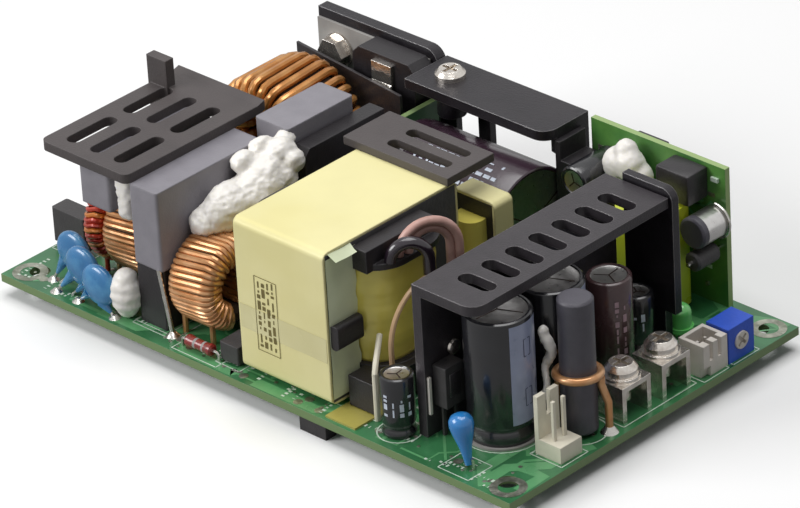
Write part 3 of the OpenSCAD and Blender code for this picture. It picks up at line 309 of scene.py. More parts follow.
class Mesh:
    """Gathers tubes, lathes, boxes and ribbons into one piece."""

    def __init__(self):
        self.v, self.f, self.m, self.mats = [], [], [], []

    def mat(self, m):
        if m not in self.mats:
            self.mats.append(m)
        return self.mats.index(m)

    def add(self, verts, faces, m):
        k, i = len(self.v), self.mat(m)
        self.v += [Vector(p) for p in verts]
        self.f += [tuple(a + k for a in f) for f in faces]
        self.m += [i] * len(faces)

    def tube(self, pts, r, m, sides=8, closed=False, cap=True):
        pts = [Vector(p) for p in pts]
        n = len(pts)
        rr = r if isinstance(r, (list, tuple)) else [r] * n
        tan = []
        for i in range(n):
            a = pts[(i - 1) % n] if closed else pts[max(i - 1, 0)]
            b = pts[(i + 1) % n] if closed else pts[min(i + 1, n - 1)]
            t = (b - a)
            tan.append(t.normalized() if t.length > 0 else Vector((0, 0, 1)))
        up = Vector((0, 0, 1)) if abs(tan[0].z) < 0.9 else Vector((1, 0, 0))
        u = (up - tan[0] * up.dot(tan[0])).normalized()
        verts = []
        for i in range(n):
            u = (u - tan[i] * u.dot(tan[i]))
            u = u.normalized() if u.length > 1e-9 else tan[i].orthogonal().normalized()
            w = tan[i].cross(u)
            for k in range(sides):
                a = TAU * k / sides
                verts.append(pts[i] + (u * math.cos(a) + w * math.sin(a)) * rr[i])
        faces = []
        for i in range(n if closed else n - 1):
            j = (i + 1) % n
            for k in range(sides):
                k2 = (k + 1) % sides
                faces.append((i * sides + k, i * sides + k2, j * sides + k2, j * sides + k))
        if cap and not closed:
            faces.append(tuple(range(sides))[::-1])
            faces.append(tuple((n - 1) * sides + k for k in range(sides)))
        self.add(verts, faces, m)

    def lathe(self, prof, centre, axis, mats, seg=48, x_dir=None):
        """prof: (radius, height, material) rows; each row's material is that of the band up to the next row."""
        axis = Vector(axis).normalized()
        u = Vector(x_dir).normalized() if x_dir else axis.orthogonal().normalized()
        w = axis.cross(u)
        c = Vector(centre)
        rings = []
        for r, h, *_ in prof:
            if r <= 1e-9:
                rings.append([len(self.v)])
                self.v.append(c + axis * h)
            else:
                rings.append(list(range(len(self.v), len(self.v) + seg)))
                for k in range(seg):
                    a = TAU * k / seg
                    self.v.append(c + axis * h + (u * math.cos(a) + w * math.sin(a)) * r)
        for i in range(len(prof) - 1):
            m = self.mat(mats[prof[i][2]] if len(prof[i]) > 2 else mats[0])
            a, b = rings[i], rings[i + 1]
            for k in range(seg):
                k2 = (k + 1) % seg
                if len(a) == 1 and len(b) == 1:
                    continue
                if len(a) == 1:
                    f = (a[0], b[k2], b[k])
                elif len(b) == 1:
                    f = (a[k], a[k2], b[0])
                else:
                    f = (a[k], a[k2], b[k2], b[k])
                self.f.append(f)
                self.m.append(m)

    def box(self, lo, hi, m, r=0.0, seg=2):
        lo, hi = Vector(lo), Vector(hi)
        bm = bmesh.new()
        bmesh.ops.create_cube(bm, size=1)
        for v in bm.verts:
            v.co = Vector([lo[i] + (hi[i] - lo[i]) * (v.co[i] + 0.5) for i in range(3)])
        if r > 0:
            bmesh.ops.bevel(bm, geom=list(bm.edges), offset=r, segments=seg, profile=0.5, affect="EDGES")
        bm.verts.index_update()
        self.add([v.co.copy() for v in bm.verts], [tuple(v.index for v in f.verts) for f in bm.faces], m)
        bm.free()

    def ribbon(self, pts, width, up, m, lift=0.00003):
        """A flat printed line through points, lying on a face whose normal is up."""
        up = Vector(up).normalized()
        pts = [Vector(p) + up * lift for p in pts]
        verts = []
        for i, p in enumerate(pts):
            a, b = pts[max(i - 1, 0)], pts[min(i + 1, len(pts) - 1)]
            d = (b - a).normalized().cross(up).normalized() * width / 2
            verts += [p - d, p + d]
        self.add(verts, [(2 * i, 2 * i + 1, 2 * i + 3, 2 * i + 2) for i in range(len(pts) - 1)], m)

    def done(self, name, replaces=(), body=BODY, smooth=True, angle=35):
        ob = mesh_piece(name, self.v, self.f, self.mats, self.m, smooth, body)
        if smooth:
            me = ob.data
            bm = bmesh.new()
            bm.from_mesh(me)
            lim = math.radians(angle)
            for e in bm.edges:
                e.smooth = len(e.link_faces) != 2 or e.calc_face_angle(0) < lim
            bm.to_mesh(me)
            bm.free()
        if replaces:
            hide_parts(*([replaces] if isinstance(replaces, str) else replaces))
        return ob


# ------------------------------------------------------------------ toroid chokes: real turns of wire
def turns_path(c, axis, r_in, r_out, h, wire, n, gap_deg, corner, slant=0.9, wob=0.08, seed=1):
    """The path of one wire wound n times round a ring of rounded rectangular section."""
    rnd = random.Random(seed)
    axis = Vector(axis).normalized()
    u = Vector((0, 0, -1)) - axis * axis.dot(Vector((0, 0, -1)))
    u.normalize()
    w = axis.cross(u)
    span = TAU - math.radians(gap_deg)
    step = span / n
    start = math.radians(gap_deg) / 2
    pts = []
    for k in range(n):
        lay = (k % 2)
        ri = r_in + wire * (0.5 + lay * 0.92)
        ro = r_out - wire * 0.5
        hh = h / 2 - wire * 0.5
        jit = rnd.uniform(-wob, wob) * step
        cr = corner
        prof = []
        # up the inside, over the top face, down the outside, back under the bottom face
        for t in (0.1, 0.5, 0.9):
            prof.append((ri, -hh + cr + (2 * hh - 2 * cr) * t, 0.0))
        for a in (20, 55, 90):
            a = math.radians(a)
            prof.append((ri + cr - cr * math.cos(a), hh - cr + cr * math.sin(a) , 0.05))
        for t in (0.33, 0.66):
            prof.append((ri + cr + (ro - ri - 2 * cr) * t, hh, 0.05 + 0.1 * t))
        for a in (90, 60, 30, 0):
            a = math.radians(a)
            prof.append((ro - cr + cr * math.cos(a), hh - cr + cr * math.sin(a), 0.18))
        for t in (0.25, 0.5, 0.75):
            prof.append((ro, hh - cr - (2 * hh - 2 * cr) * t, 0.18 + 0.64 * t))
        for a in (0, 30, 60, 90):
            a = math.radians(a)
            prof.append((ro - cr + cr * math.cos(a), -hh + cr - cr * math.sin(a), 0.82))
        for t in (0.66, 0.33):
            prof.append((ri + cr + (ro - ri - 2 * cr) * t, -hh, 0.85 + 0.1 * (1 - t)))
        for a in (90, 55, 20):
            a = math.radians(a)
            prof.append((ri + cr - cr * math.cos(a), -hh + cr - cr * math.sin(a), 0.97))
        for r, z, f in prof:
            th = start + jit + step * (k + f * slant)
            pts.append(Vector(c) + axis * z + (u * math.cos(th) + w * math.sin(th)) * r)
    return pts


def choke(name, node, centre, axis, d_out, hole, h, wire, n, mats, gap=26, corner=1.6, slant=0.9, seed=1, leads=(), bands=None,
          slot="copper_wire", core=M_CORE_AND_SHADE, sides=8):
    M = Mesh()
    s = MM
    pts = turns_path(centre, axis, hole / 2 * s, d_out / 2 * s, h * s, wire * s, n, gap, corner * s, slant, seed=seed)
    per = len(pts) // n
    if bands:
        k0 = 0
        for count, m in bands:
            k1 = min(n, k0 + count)
            if k1 <= k0:
                break
            M.tube(pts[k0 * per:min(len(pts), k1 * per + 1)], wire / 2 * s, m, sides)
            k0 = k1
    else:
        M.tube(pts, wire / 2 * s, mats, sides)
    # dark core under the turns, its colour painted as the shade between them
    inset = wire * 0.9 * s
    ri, ro, hh = hole / 2 * s + inset, d_out / 2 * s - inset, h / 2 * s - inset
    c2 = corner * s * 0.7
    prof = [(ri, -hh + c2), (ri + c2, -hh), (ro - c2, -hh), (ro, -hh + c2), (ro, hh - c2), (ro - c2, hh), (ri + c2, hh), (ri, hh - c2), (ri, -hh + c2)]
    M.lathe(prof, centre, axis, [core], seg=64)
    for a, b in leads:
        a, b = Vector(a), Vector(b)
        mid = (a + b) / 2 + Vector((0, 0, 0))
        M.tube([a, mid, b], wire / 2 * s, mats, sides)
    return M.done(name, node)


def at_board(p, dx, dy, z):
    """The point at height z above the board, offset in mm from the point p."""
    return Vector((p.x + dx * MM, p.y + dy * MM, B_HI.z + z * MM))


def node_choke(node, h, hole, wire, n, mat, name, axis=(1, 0, 0), x_mid=None, **kw):
    lo, hi, d, c = size(node)
    od = (hi.z - B_HI.z) / MM - 0.8
    centre = Vector((c.x, c.y, hi.z - od / 2 * MM))
    leads = kw.pop("leads", ())
    ends = []
    for x, y, z0 in leads:
        p = centre + Vector((x, y, 0)) * MM
        ends.append((Vector((p.x, p.y, B_HI.z)), Vector((p.x, p.y, B_HI.z + z0 * MM))))
    return choke(name, node, centre, axis, od, hole, h, wire, n, mat, leads=ends, **kw)


node_choke("filter_choke", 10.8, 7, 1.06, 44, M_COPPER, "filter_choke_turns", seed=3, slant=1.2,
           leads=[(-3.5, -6, 4.5), (3.5, -6, 4.5), (-3.5, 6, 4.5), (3.5, 6, 4.5)])
node_choke("mains_choke", 10.8, 7, 0.98, 46, M_COPPER, "mains_choke_turns", seed=5, slant=1.1,
           leads=[(-3.5, -6, 4.5), (3.5, -6, 4.5), (-3.5, 6, 4.5), (3.5, 6, 4.5)])
node_choke("coloured_choke", 4.4, 7, 0.95, 46, M_WRED, "coloured_choke_turns", seed=8, slant=0.9, corner=1.0,
           bands=[(2, M_WRED), (1, M_WORG)] * 16, leads=[(0, -5, 3.4), (0, 5, 3.4)], slot="coloured_wire")
lo, hi, d, c = size("power_factor_choke")
pfc_d, pfc_h, pfc_wire = d.x / MM, 18, 1.7
pfc_c = Vector((c.x, c.y, hi.z - pfc_d / 2 * MM))
choke("power_factor_turns", "power_factor_choke", pfc_c, (0, 1, 0), pfc_d, 10, pfc_h, pfc_wire, 30, M_GOLD, gap=20,
      corner=2.6, slant=0.5, seed=4, slot="golden_wire", sides=10,
      leads=[(at_board(pfc_c, 0, y, 0), at_board(pfc_c, 0, y, 3.4)) for y in (-5, 5)])


# ------------------------------------------------------------------ electrolytic capacitors
def can(M, base, axis, d, h, sleeve, stripe=None, stripe_mat=M_LILAC, mark=M_LILACD, face=None, width=34, text=None, text_at=None):
    """Sleeved can: bottom roll, groove, shrunk rim over the top, bare top with its vent cross drawn as painted shade.
    """
    r, s = d / 2 * MM, MM
    axis = Vector(axis).normalized()
    face = Vector(face) if face is not None else axis.orthogonal()
    face = (face - axis * face.dot(axis)).normalized()
    g = h * 0.12
    P = [(0, 0.0003, 1), (r - 0.9 * s, 0.0003, 1), (r - 0.7 * s, 0, 0), (r - 0.25 * s, 0.0001, 0), (r, 0.0006, 0), (r, g * s - 0.0006, 0),
         (r - 0.3 * s, g * s, 0), (r - 0.38 * s, g * s + 0.0004, 0), (r - 0.3 * s, g * s + 0.0008, 0), (r, g * s + 0.0014, 0),
         (r, (h - 0.55) * s, 0), (r - 0.12 * s, (h - 0.2) * s, 0), (r - 0.4 * s, h * s, 0), (r - 0.75 * s, (h - 0.02) * s, 0),
         (r - 0.9 * s, (h - 0.25) * s, 1), (r - 1.1 * s, (h - 0.32) * s, 1), (0.0, (h - 0.3) * s, 1)]
    M.lathe(P, base, axis, [sleeve, M_ALU], seg=56, x_dir=face)
    top = Vector(base) + axis * (h - 0.3) * s
    w = axis.cross(face)
    # vent grooves drawn as dark lines: painted shade
    for a in (20, 140, 260):
        a = math.radians(a)
        dr = face * math.cos(a) + w * math.sin(a)
        M.ribbon([top, top + dr * (r - 1.5 * s)], 0.28 * s, axis, M_CORE_AND_SHADE, 0.00004)
    if stripe:
        a0, a1 = math.radians(-width / 2), math.radians(width / 2)
        z0, z1 = (g + 1.6) * s, (h - 0.8) * s
        rows = 10
        verts, faces = [], []
        for i in range(2):
            for k in range(rows + 1):
                a = a0 + (a1 - a0) * k / rows
                verts.append(Vector(base) + axis * (z0 if i == 0 else z1) + (face * math.cos(a) + w * math.sin(a)) * (r + 0.03 * s))
        for k in range(rows):
            faces.append((k, k + 1, rows + 2 + k, rows + 1 + k))
        M.add(verts, faces, stripe_mat)
        marks = max(2, int(h / 9))
        for j in range(marks):
            zc = z0 + (z1 - z0) * (j + 0.5) / marks
            hw, hh = min(0.8 * s, r * 0.16), min(1.7 * s, h * 0.075 * s)
            ring = [(-hw, -hh), (hw, -hh), (hw, hh), (-hw, hh), (-hw, -hh)]
            pts = []
            for x, z in ring:
                a = x / r
                pts.append(Vector(base) + axis * (zc + z) + (face * math.cos(a) + w * math.sin(a)) * (r + 0.05 * s))
            for p, q in zip(pts, pts[1:]):
                M.ribbon([p, q], 0.16 * s, face, mark, 0.00002)
    if text:
        rnd = random.Random(int(d * 100 + h))
        a_c, rows_n, m = text
        for j in range(rows_n):
            a = math.radians(a_c) + (j - (rows_n - 1) / 2) * (1.5 * s / r)
            z = (g + 3.2) * s
            while z < (h - 3.2) * s:
                ln = rnd.choice([0.5, 0.8, 1.1, 1.5]) * s
                if rnd.random() < 0.84 and z + ln < (h - 3) * s:
                    p = lambda zz, aa: Vector(base) + axis * zz + (face * math.cos(aa) + w * math.sin(aa)) * (r + 0.03 * s)
                    nrm = face * math.cos(a) + w * math.sin(a)
                    M.ribbon([p(z, a), p(z + ln, a)], rnd.choice([0.3, 0.75, 0.75]) * s, nrm, m, 0.00002)
                z += ln + rnd.choice([0.3, 0.4, 0.9]) * s


def board_at(x, y):
    return at(x, y, 0)


L_MM, W_MM = (B_HI.x - B_LO.x) / MM, (B_HI.y - B_LO.y) / MM
M = Mesh()
can(M, at(L_MM - 16.9, 16.7, 0), (0, 0, 1), 12.5, 25, M_SLEEVE, True, face=(1, 0.07, 0), width=66)
M.lathe([(6.1 * MM, 0), (6.75 * MM, 0), (6.75 * MM, 0.5 * MM), (6.1 * MM, 0.5 * MM)], at(L_MM - 16.9, 16.7, 0),
        (0, 0, 1), [M_PADG])
can(M, at(L_MM - 17.1, 30.2, 0), (0, 0, 1), 12.5, 25, M_SLEEVE, True, face=(1, 0.07, 0), width=66)
M.done("output_cans", "output_capacitors")
M = Mesh()
can(M, at(L_MM - 15.6, 43.8, 0), (0, 0, 1), 8.3, 20, M_BROWN, False, face=(0.7, -0.7, 0), text=(25, 2, M_MAROON))
can(M, at(L_MM - 18.2, 53.6, 0), (0, 0, 1), 6.3, 11.3, M_SLEEVE, True, face=(-0.4, -1, 0), width=60,
    text=(70, 2, M_GREYPR))
can(M, at(L_MM - 31.1, 5.5, 0), (0, 0, 1), 6.3, 12, M_SLEEVE, False, face=(0.75, -0.7, 0), text=(-18, 5, M_GREYPR))
M.done("small_cans", "small_capacitors")
lo, hi, d, c = size("bulk_capacitor")
M = Mesh()
bulk_d, bulk_len = d.y / MM, 30
bulk_z = hi.z - bulk_d / 2 * MM
can(M, Vector((hi.x - bulk_len * MM, c.y, bulk_z)), (1, 0, 0), bulk_d, bulk_len, M_PURPLE, False,
    face=(0, -0.6, 0.8), text=(-6, 6, M_GREYPR))
for sy in (-5, 5):
    x = hi.x - (bulk_len + 3) * MM
    y = c.y + sy * MM
    M.tube([Vector((x, y, B_HI.z)), Vector((x, y, bulk_z - 0.8 * MM)), Vector((x + 0.3 * MM, y, bulk_z - 0.2 * MM)),
            Vector((x + 3.2 * MM, y, bulk_z))], 0.5 * MM, M_SOLDER, 10)
M.done("bulk_can", "bulk_capacitor")

# ferrite rod with one thick turn, on its two legs
ROD = (L_MM - 6.6, 25.4)
M = Mesh()
M.lathe([(0, 0), (2.85 * MM, 0), (3.25 * MM, 0.4 * MM), (3.25 * MM, 26 * MM), (2.85 * MM, 26.4 * MM), (0, 26.4 * MM)],
        at(*ROD, 0.6), (0, 0, 1), [M_FERR], seg=56)
turn_r, turn_z = 3.95, 11.8
path = []
for x, y in ((4.1, 3), (-4.3, -1.1)):
    a = math.atan2(y, x)
    leg = [at(ROD[0] + x, ROD[1] + y, z) for z in (0, 3, 6)]
    leg += [at(ROD[0] + turn_r * math.cos(a), ROD[1] + turn_r * math.sin(a), z) for z in (9.5, turn_z - 0.8)]
    M.tube(leg, 0.72 * MM, M_COPPER, 12)
    M.lathe([(0, 1.3 * MM), (0.8 * MM, 1.2 * MM), (1.3 * MM, 0.5 * MM), (1.7 * MM, 0)], at(ROD[0] + x, ROD[1] + y, 0),
            (0, 0, 1), [M_SOLDER], seg=20)
for i in range(41):
    a = TAU * i / 40
    path.append(at(ROD[0] + turn_r * math.cos(a), ROD[1] + turn_r * math.sin(a), turn_z + 0.35 * math.sin(a + 2.4)))
M.tube(path[:-1], 0.75 * MM, M_COPPER, 14, closed=True)
M.done("rod_and_turn", "ferrite_rod_choke")

# ceramic disc capacitors: dipped lens, coating run down the legs, bare wire at the feet
M = Mesh()
DISC_R, DISC_T = 4.1, 3.0
for x, y, z, fx, fy, tail in ((13.6, 6.3, 6.7, 9.2, 4.6, 11.2), (18.5, 3.75, 6.4, 12.8, 1.9, 16.0),
                              (24.6, 1.9, 5.6, 18.6, 1.9, 28.2)):
    prof = [(DISC_R * math.sin(a), DISC_T / 2 * math.copysign(abs(math.cos(a)) ** 0.8, -math.cos(a)))
            for a in [math.pi * k / 16 for k in range(17)]]
    M.lathe([(r * MM, h * MM) for r, h in prof], at(x, y, z), (0, 1, 0), [M_BLUE], seg=40)
    for q, edge in ((fx, -0.75), (tail, 0.2)):
        top = (x + edge * DISC_R * 0.8, y, z - DISC_R * (0.55 if edge < 0 else 0.8))
        foot = (q, fy if edge < 0 else y * 0.6 + 0.7, 0)
        pts = [at(*[top[i] + (foot[i] - top[i]) * t for i in range(3)]) for t in (0, 0.25, 0.5, 0.62, 0.7, 1)]
        M.tube(pts, [1.25 * MM, 0.95 * MM, 0.6 * MM, 0.45 * MM, 0.3 * MM, 0.3 * MM], M_BLUE, 10)
        M.tube([pts[4], pts[5]], 0.32 * MM, M_SOLDER, 8)
M.done("disc_capacitors", "y_capacitors")

# surge resistor: red lacquered body with swollen ends and bright bands, on bent wires
lo, hi, d, c = size("surge_resistor")
M = Mesh()
body_len, body_r = 6.6, 1.2
z_axis = hi.z - body_r * MM
prof = [(0, 0), (0.8, 0.02), (1.15, 0.3), (1.2, 0.8), (1.05, 1.6), (1.02, 2.1), (1.02, 2.1), (1.02, 2.7), (1.02, 3.2),
        (1.02, 3.6), (1.02, 4.2), (1.02, 4.7), (1.05, 5.1), (1.2, 5.8), (1.15, 6.3), (0.8, 6.58), (0, 6.6)]
band = [0, 0, 0, 0, 0, 0, 1, 0, 2, 0, 1, 0, 2, 0, 0, 0, 0]
M.lathe([(r * MM, h * MM, k) for (r, h), k in zip(prof, band)], Vector((c.x - body_len / 2 * MM, c.y, z_axis)), (1, 0, 0),
        [M_BANDR, M_PADG, M_RESR], seg=32)
for sgn in (-1, 1):
    M.tube([Vector((c.x + sgn * 3.3 * MM, c.y, z_axis)), Vector((c.x + sgn * 4.3 * MM, c.y, z_axis)),
            Vector((c.x + sgn * 4.6 * MM, c.y, z_axis - 0.3 * MM)), Vector((c.x + sgn * 4.6 * MM, c.y, B_HI.z))],
           0.3 * MM, M_SOLDER, 8)
M.done("resistor", "surge_resistor")

# bright skin of the slanted lead below the second film capacitor, and its solder
M = Mesh()
relay_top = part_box("relay")[1].z
M.tube([Vector((at(38.7, 0, 0).x, at(0, 3.95, 0).y, relay_top + 0.25 * MM)), at(41.1, 3.95, 0.15)], 0.46 * MM, M_SOLDER, 12)
M.lathe([(0, 1.1 * MM), (0.6 * MM, 0.9 * MM), (1.1 * MM, 0.25 * MM), (1.4 * MM, 0)], at(41.1, 3.95, 0), (0, 0, 1),
        [M_SOLDER], seg=20)
for x, y in ((9.2, 4.6), (12.8, 1.9), (18.6, 1.9), (28.2, 1.84)):
    M.lathe([(0, 0.8 * MM), (0.5 * MM, 0.6 * MM), (1.0 * MM, 0.12 * MM), (1.2 * MM, 0)], at(x, y, 0), (0, 0, 1),
            [M_SOLDER], seg=16)
M.done("lead_and_solder")

# dipped drop capacitor: wide at the top, narrow at the legs
lo, hi, d, c = size("drop_capacitor")
M = Mesh()
drop_r, drop_l = 2.25, d.z / MM - 0.9
base = Vector((c.x + 1.0 * MM, c.y, B_HI.z + 0.7 * MM))
axis = Vector((-0.22, 0.04, 1)).normalized()
M.lathe([(r * drop_r * MM, h * drop_l * MM) for r, h in
         ((0, 0), (0.3, 0.02), (0.38, 0.18), (0.55, 0.38), (0.84, 0.6), (1, 0.77), (0.95, 0.88), (0.7, 0.96),
          (0.35, 0.995), (0, 1))], base, axis, [M_BLUED], seg=40)
for q in (-0.9, 0.9):
    M.tube([base + Vector((q, 0, 1.6)) * MM, base + Vector((q, 0.2, -0.7)) * MM], 0.3 * MM, M_SOLDER, 8)
M.done("drop_can", "drop_capacitor")
lo, hi, d, c = size("control_capacitor")
M = Mesh()
can(M, Vector((c.x, hi.y - 0.2 * MM, c.z)), (0, -1, 0), 6.3, 10.7, M_SLEEVE, True, face=(0.9, 0, -0.6), width=70, text=(-70, 2, M_GREYPR))
M.done("control_can", "control_capacitor")


# parts soldered to the upright control board, measured from its lower left front corner
lo, hi, d, c = size("control_board")
CARD = lo.copy()


def on_card(x, y, z):
    return Vector((CARD.x + x * MM, CARD.y + y * MM, B_HI.z + z * MM))


M = Mesh()
M.box(on_card(20.1, -5.5, 21.5), on_card(27.9, 0, 27.7), M_BLACK, 0.5 * MM)
M.box(on_card(9.6, d.y / MM, 22.1), on_card(16.8, d.y / MM + 1.2, 27.9), M_BLACK, 0.3 * MM)
M.box(on_card(11, -1.3, 5), on_card(17.5, 0, 13), M_BLACK, 0.25 * MM)
M.box(on_card(3, -0.75, 3), on_card(6, 0, 5), M_DARK, 0.15 * MM)
R_CAN = 3.05
M.lathe([(0, 0, 0), (R_CAN * 0.9 * MM, 0, 0), (R_CAN * MM, 0.4 * MM, 0), (R_CAN * MM, 5.9 * MM, 1),
         (R_CAN * MM, 7 * MM, 1), (R_CAN * 0.85 * MM, 7.35 * MM, 1), (0, 7.35 * MM, 1)], on_card(30.1, 0, 17.8),
        (0, -1, 0), [M_ALU, M_FERR], seg=40)
M.tube([on_card(30.1, y, 17.8 + 3.3 * math.sin(a)) + Vector((3.3 * math.cos(a), 0, 0)) * MM
        for y, a in [(-0.9, math.radians(q)) for q in range(-90, 91, 15)]], 0.35 * MM, M_SOLDER, 8)
M.lathe([(0, 0, 0), (1.5 * MM, 0, 0), (1.88 * MM, 0.4 * MM, 0), (1.88 * MM, 5.5 * MM, 0), (1.5 * MM, 5.9 * MM, 0),
         (0, 5.9 * MM, 0)], on_card(30.1, -1.6, 12), (0, -1, 0), [M_DARK], seg=32)
for ya, yb in ((0, -1.7), (-7.4, -8.7)):
    M.tube([on_card(30.1, ya, 12), on_card(30.1, yb, 12)], 0.4 * MM, M_SOLDER, 8)
M.done("card_parts", "control_board_parts")

# small parts, solder and print on both faces of the card
M = Mesh()
rnd = random.Random(11)
for face_y, out in ((0, -1), (d.y / MM, 1)):
    for k in range(34):
        x, z = rnd.uniform(1.5, d.x / MM - 3), rnd.uniform(2, d.z / MM - 3)
        w, h = rnd.choice(((1.6, 0.8), (0.8, 1.6), (2, 1.2), (0.6, 0.6)))
        near = [on_card(x, face_y, z), on_card(x + w, face_y + out * rnd.choice((0.04, 0.5)), z + h)]
        low = Vector([min(near[0][i], near[1][i]) for i in range(3)])
        high = Vector([max(near[0][i], near[1][i]) for i in range(3)])
        M.box(low, high, rnd.choice((M_DARK, M_PAD, M_PRINT, M_PAD, M_LEADT)))
    for k in range(14):
        x, z = rnd.uniform(1, d.x / MM - 8), rnd.uniform(2, d.z / MM - 3)
        ln = rnd.uniform(2, 7)
        p, q = on_card(x, face_y, z), on_card(x + ln, face_y, z)
        e = on_card(x + ln + 1.5, face_y, z + rnd.choice((-1.5, 1.5)))
        M.ribbon([p, q, e], rnd.choice((0.35, 0.6)) * MM, (0, out, 0), M_TRACK)
M.done("card_small_parts", smooth=False)


# ------------------------------------------------------------------ what is on the board between the parts
def outline(M, node, grow, width=0.22):
    lo, hi, d, c = size(node)
    x0, x1 = max(lo.x - grow * MM, B_LO.x + 0.4 * MM), min(hi.x + grow * MM, B_HI.x - 0.4 * MM)
    y0, y1 = max(lo.y - grow * MM, B_LO.y + 0.4 * MM), min(hi.y + grow * MM, B_HI.y - 0.4 * MM)
    ring = [(x0, y0), (x1, y0), (x1, y1), (x0, y1), (x0, y0)]
    for a, b in zip(ring, ring[1:]):
        M.ribbon([(*a, B_HI.z), (*b, B_HI.z)], width * MM, (0, 0, 1), M_PRINT, 0.00006)


def circle(M, x, y, r, width, m, lift):
    pts = [at(x + r * math.cos(TAU * k / 28), y + r * math.sin(TAU * k / 28), 0) for k in range(29)]
    M.ribbon(pts, width * MM, (0, 0, 1), m, lift)


def pad(M, x, y, r, m=None):
    M.lathe([(0, 0.07 * MM), (r * MM, 0.05 * MM), (r * MM, 0)], at(x, y, 0), (0, 0, 1), [m or M_PAD], seg=18)


M = Mesh()
rnd = random.Random(23)
for k in range(150):
    x, y = rnd.uniform(3, L_MM - 3), rnd.uniform(2, W_MM - 2)
    pts = [(x, y)]
    a = rnd.choice((0, 1, 2, 3)) * math.pi / 2
    for step in range(rnd.choice((2, 3, 4))):
        ln = rnd.uniform(2, 11)
        x = min(max(x + ln * math.cos(a), 1.6), L_MM - 1.6)
        y = min(max(y + ln * math.sin(a), 1.6), W_MM - 1.6)
        pts.append((x, y))
        a += rnd.choice((-1, 1)) * math.pi / 4
    M.ribbon([at(px, py, 0) for px, py in pts], rnd.choice((0.5, 0.5, 0.8, 1.4, 2.6)) * MM, (0, 0, 1), M_TRACK,
             0.00002 + k * 0.0000001)
    pad(M, pts[0][0], pts[0][1], 0.4)
for k in range(70):
    pad(M, rnd.uniform(2, L_MM - 2), rnd.choice((rnd.uniform(1.5, 6), rnd.uniform(2, W_MM - 2))), rnd.choice((0.3, 0.45, 0.9)))
for node in ("relay", "film_capacitor_1", "film_capacitor_2", "film_capacitor_3", "input_fuse", "mains_header",
             "fan_header", "trimmer_body", "sense_header", "surge_resistor", "optocoupler", "transformer_bobbin",
             "output_terminals", "drop_capacitor"):
    outline(M, node, 0.7)
for x, y, r in ((L_MM - 16.9, 16.7, 7.2), (L_MM - 17.1, 30.2, 7.2), (L_MM - 15.6, 43.8, 5.0), (L_MM - 31.1, 5.5, 4.0),
                (*ROD, 4.9)):
    circle(M, x, y, r, 0.25, M_PRINT, 0.00006)
for x, y in ((3.8, 3.8), (L_MM - 3.8, 3.8), (3.8, W_MM - 3.8), (L_MM - 3.8, W_MM - 3.8)):
    circle(M, x, y, 2.6, 1.5, M_PAD, 0.00005)
for k in range(90):
    x = rnd.uniform(2, L_MM - 4)
    y = rnd.choice((rnd.uniform(1.2, 4), rnd.uniform(2, W_MM - 2), rnd.uniform(2, 16)))
    across = rnd.random() < 0.6
    for j in range(rnd.choice((2, 3, 4))):
        dx, dy = (j * 0.95, 0) if across else (0, j * 0.95)
        tall = rnd.choice((0.5, 0.75, 0.75))
        a, b = ((x + dx, y), (x + dx, y + tall)) if across else ((x, y + dy), (x + tall, y + dy))
        M.ribbon([at(*a, 0), at(*b, 0)], rnd.choice((0.16, 0.4, 0.55)) * MM, (0, 0, 1), M_PRINT, 0.00007)
M.done("board_artwork", smooth=False)

# ------------------------------------------------------------------ soft and irregular pieces
def remeshed(name, blobs, voxel, mat, replaces=(), rough=0.25, rscale=900, smooth=2, clip=None):
    """Joins balls stretched along each axis, melts them into one skin and roughens it."""
    bm = bmesh.new()
    for c, rx, ry, rz in blobs:
        g = bmesh.ops.create_icosphere(bm, subdivisions=3, radius=1)
        for v in g["verts"]:
            v.co = Vector((v.co.x * rx, v.co.y * ry, v.co.z * rz)) * MM + Vector(c)
    me = bpy.data.meshes.new(name)
    bm.to_mesh(me)
    bm.free()
    ob = bpy.data.objects.new(name, me)
    bpy.context.scene.collection.objects.link(ob)
    rm = ob.modifiers.new("melt", "REMESH")
    rm.mode = "VOXEL"
    rm.voxel_size = voxel * MM
    sm = ob.modifiers.new("ease", "SMOOTH")
    sm.iterations = smooth
    dg = bpy.context.evaluated_depsgraph_get()
    new = bpy.data.meshes.new_from_object(ob.evaluated_get(dg))
    ob.modifiers.clear()
    ob.data = new
    for v in new.vertices:
        p = Vector((v.co.x, v.co.y * 0.45, v.co.z))
        nv = noise.noise(p * rscale) * 0.55 + noise.noise(p * rscale * 2.3) * 0.3 + noise.noise(v.co * rscale * 5) * 0.2
        v.co += v.normal * nv * rough * MM
        if clip:
            for i in range(3):
                v.co[i] = min(max(v.co[i], clip[0][i]), clip[1][i])
    new.materials.clear()
    new.materials.append(mat)
    new.polygons.foreach_set("use_smooth", [True] * len(new.polygons))
    new.update()
    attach(ob, BODY)
    if replaces:
        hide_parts(*replaces)
    return ob


blobs = []
for i in range(15):
    t = i / 14
    y = 12.5 + 20.3 * t
    rr = 1.7 + 3.0 * math.sin(math.pi * min(1, t * 0.62 + 0.16)) ** 1.2
    z = 20.2 + 4.4 * t + 0.5 * math.sin(t * 9)
    x = 39.9 + rr * 0.92 + 0.3 * math.sin(t * 13)
    blobs.append((at(x, y, z), rr, rr * 0.95, rr * (1.0 + 0.12 * math.sin(t * 11))))
for x, y, z, r in [(41.6, 24, 27.2, 2.2), (41.5, 29, 28.0, 2.3), (44.5, 30.5, 27.6, 2.6), (43, 33, 28.2, 1.9), (46.5, 28.5, 24.0, 2.5), (47.2, 31, 26.4, 2.0)]:
    blobs.append((at(x, y, z), r, r * 1.2, r))
remeshed("silicone_main", blobs, 0.36, M_SILI, ["silicone_beads"], rough=0.8, rscale=420)
remeshed("silicone_cover", [(at(28.9, 7.0, z), 1.7 + 1.0 * (z - 19) / 9, 2.0, 2.0) for z in (20.4, 22, 24, 25.6, 26.4)],
         0.4, M_SILI, rough=0.55, rscale=700, clip=(at(25.5, 2, 18), at(32.3, 12, 28.4)))
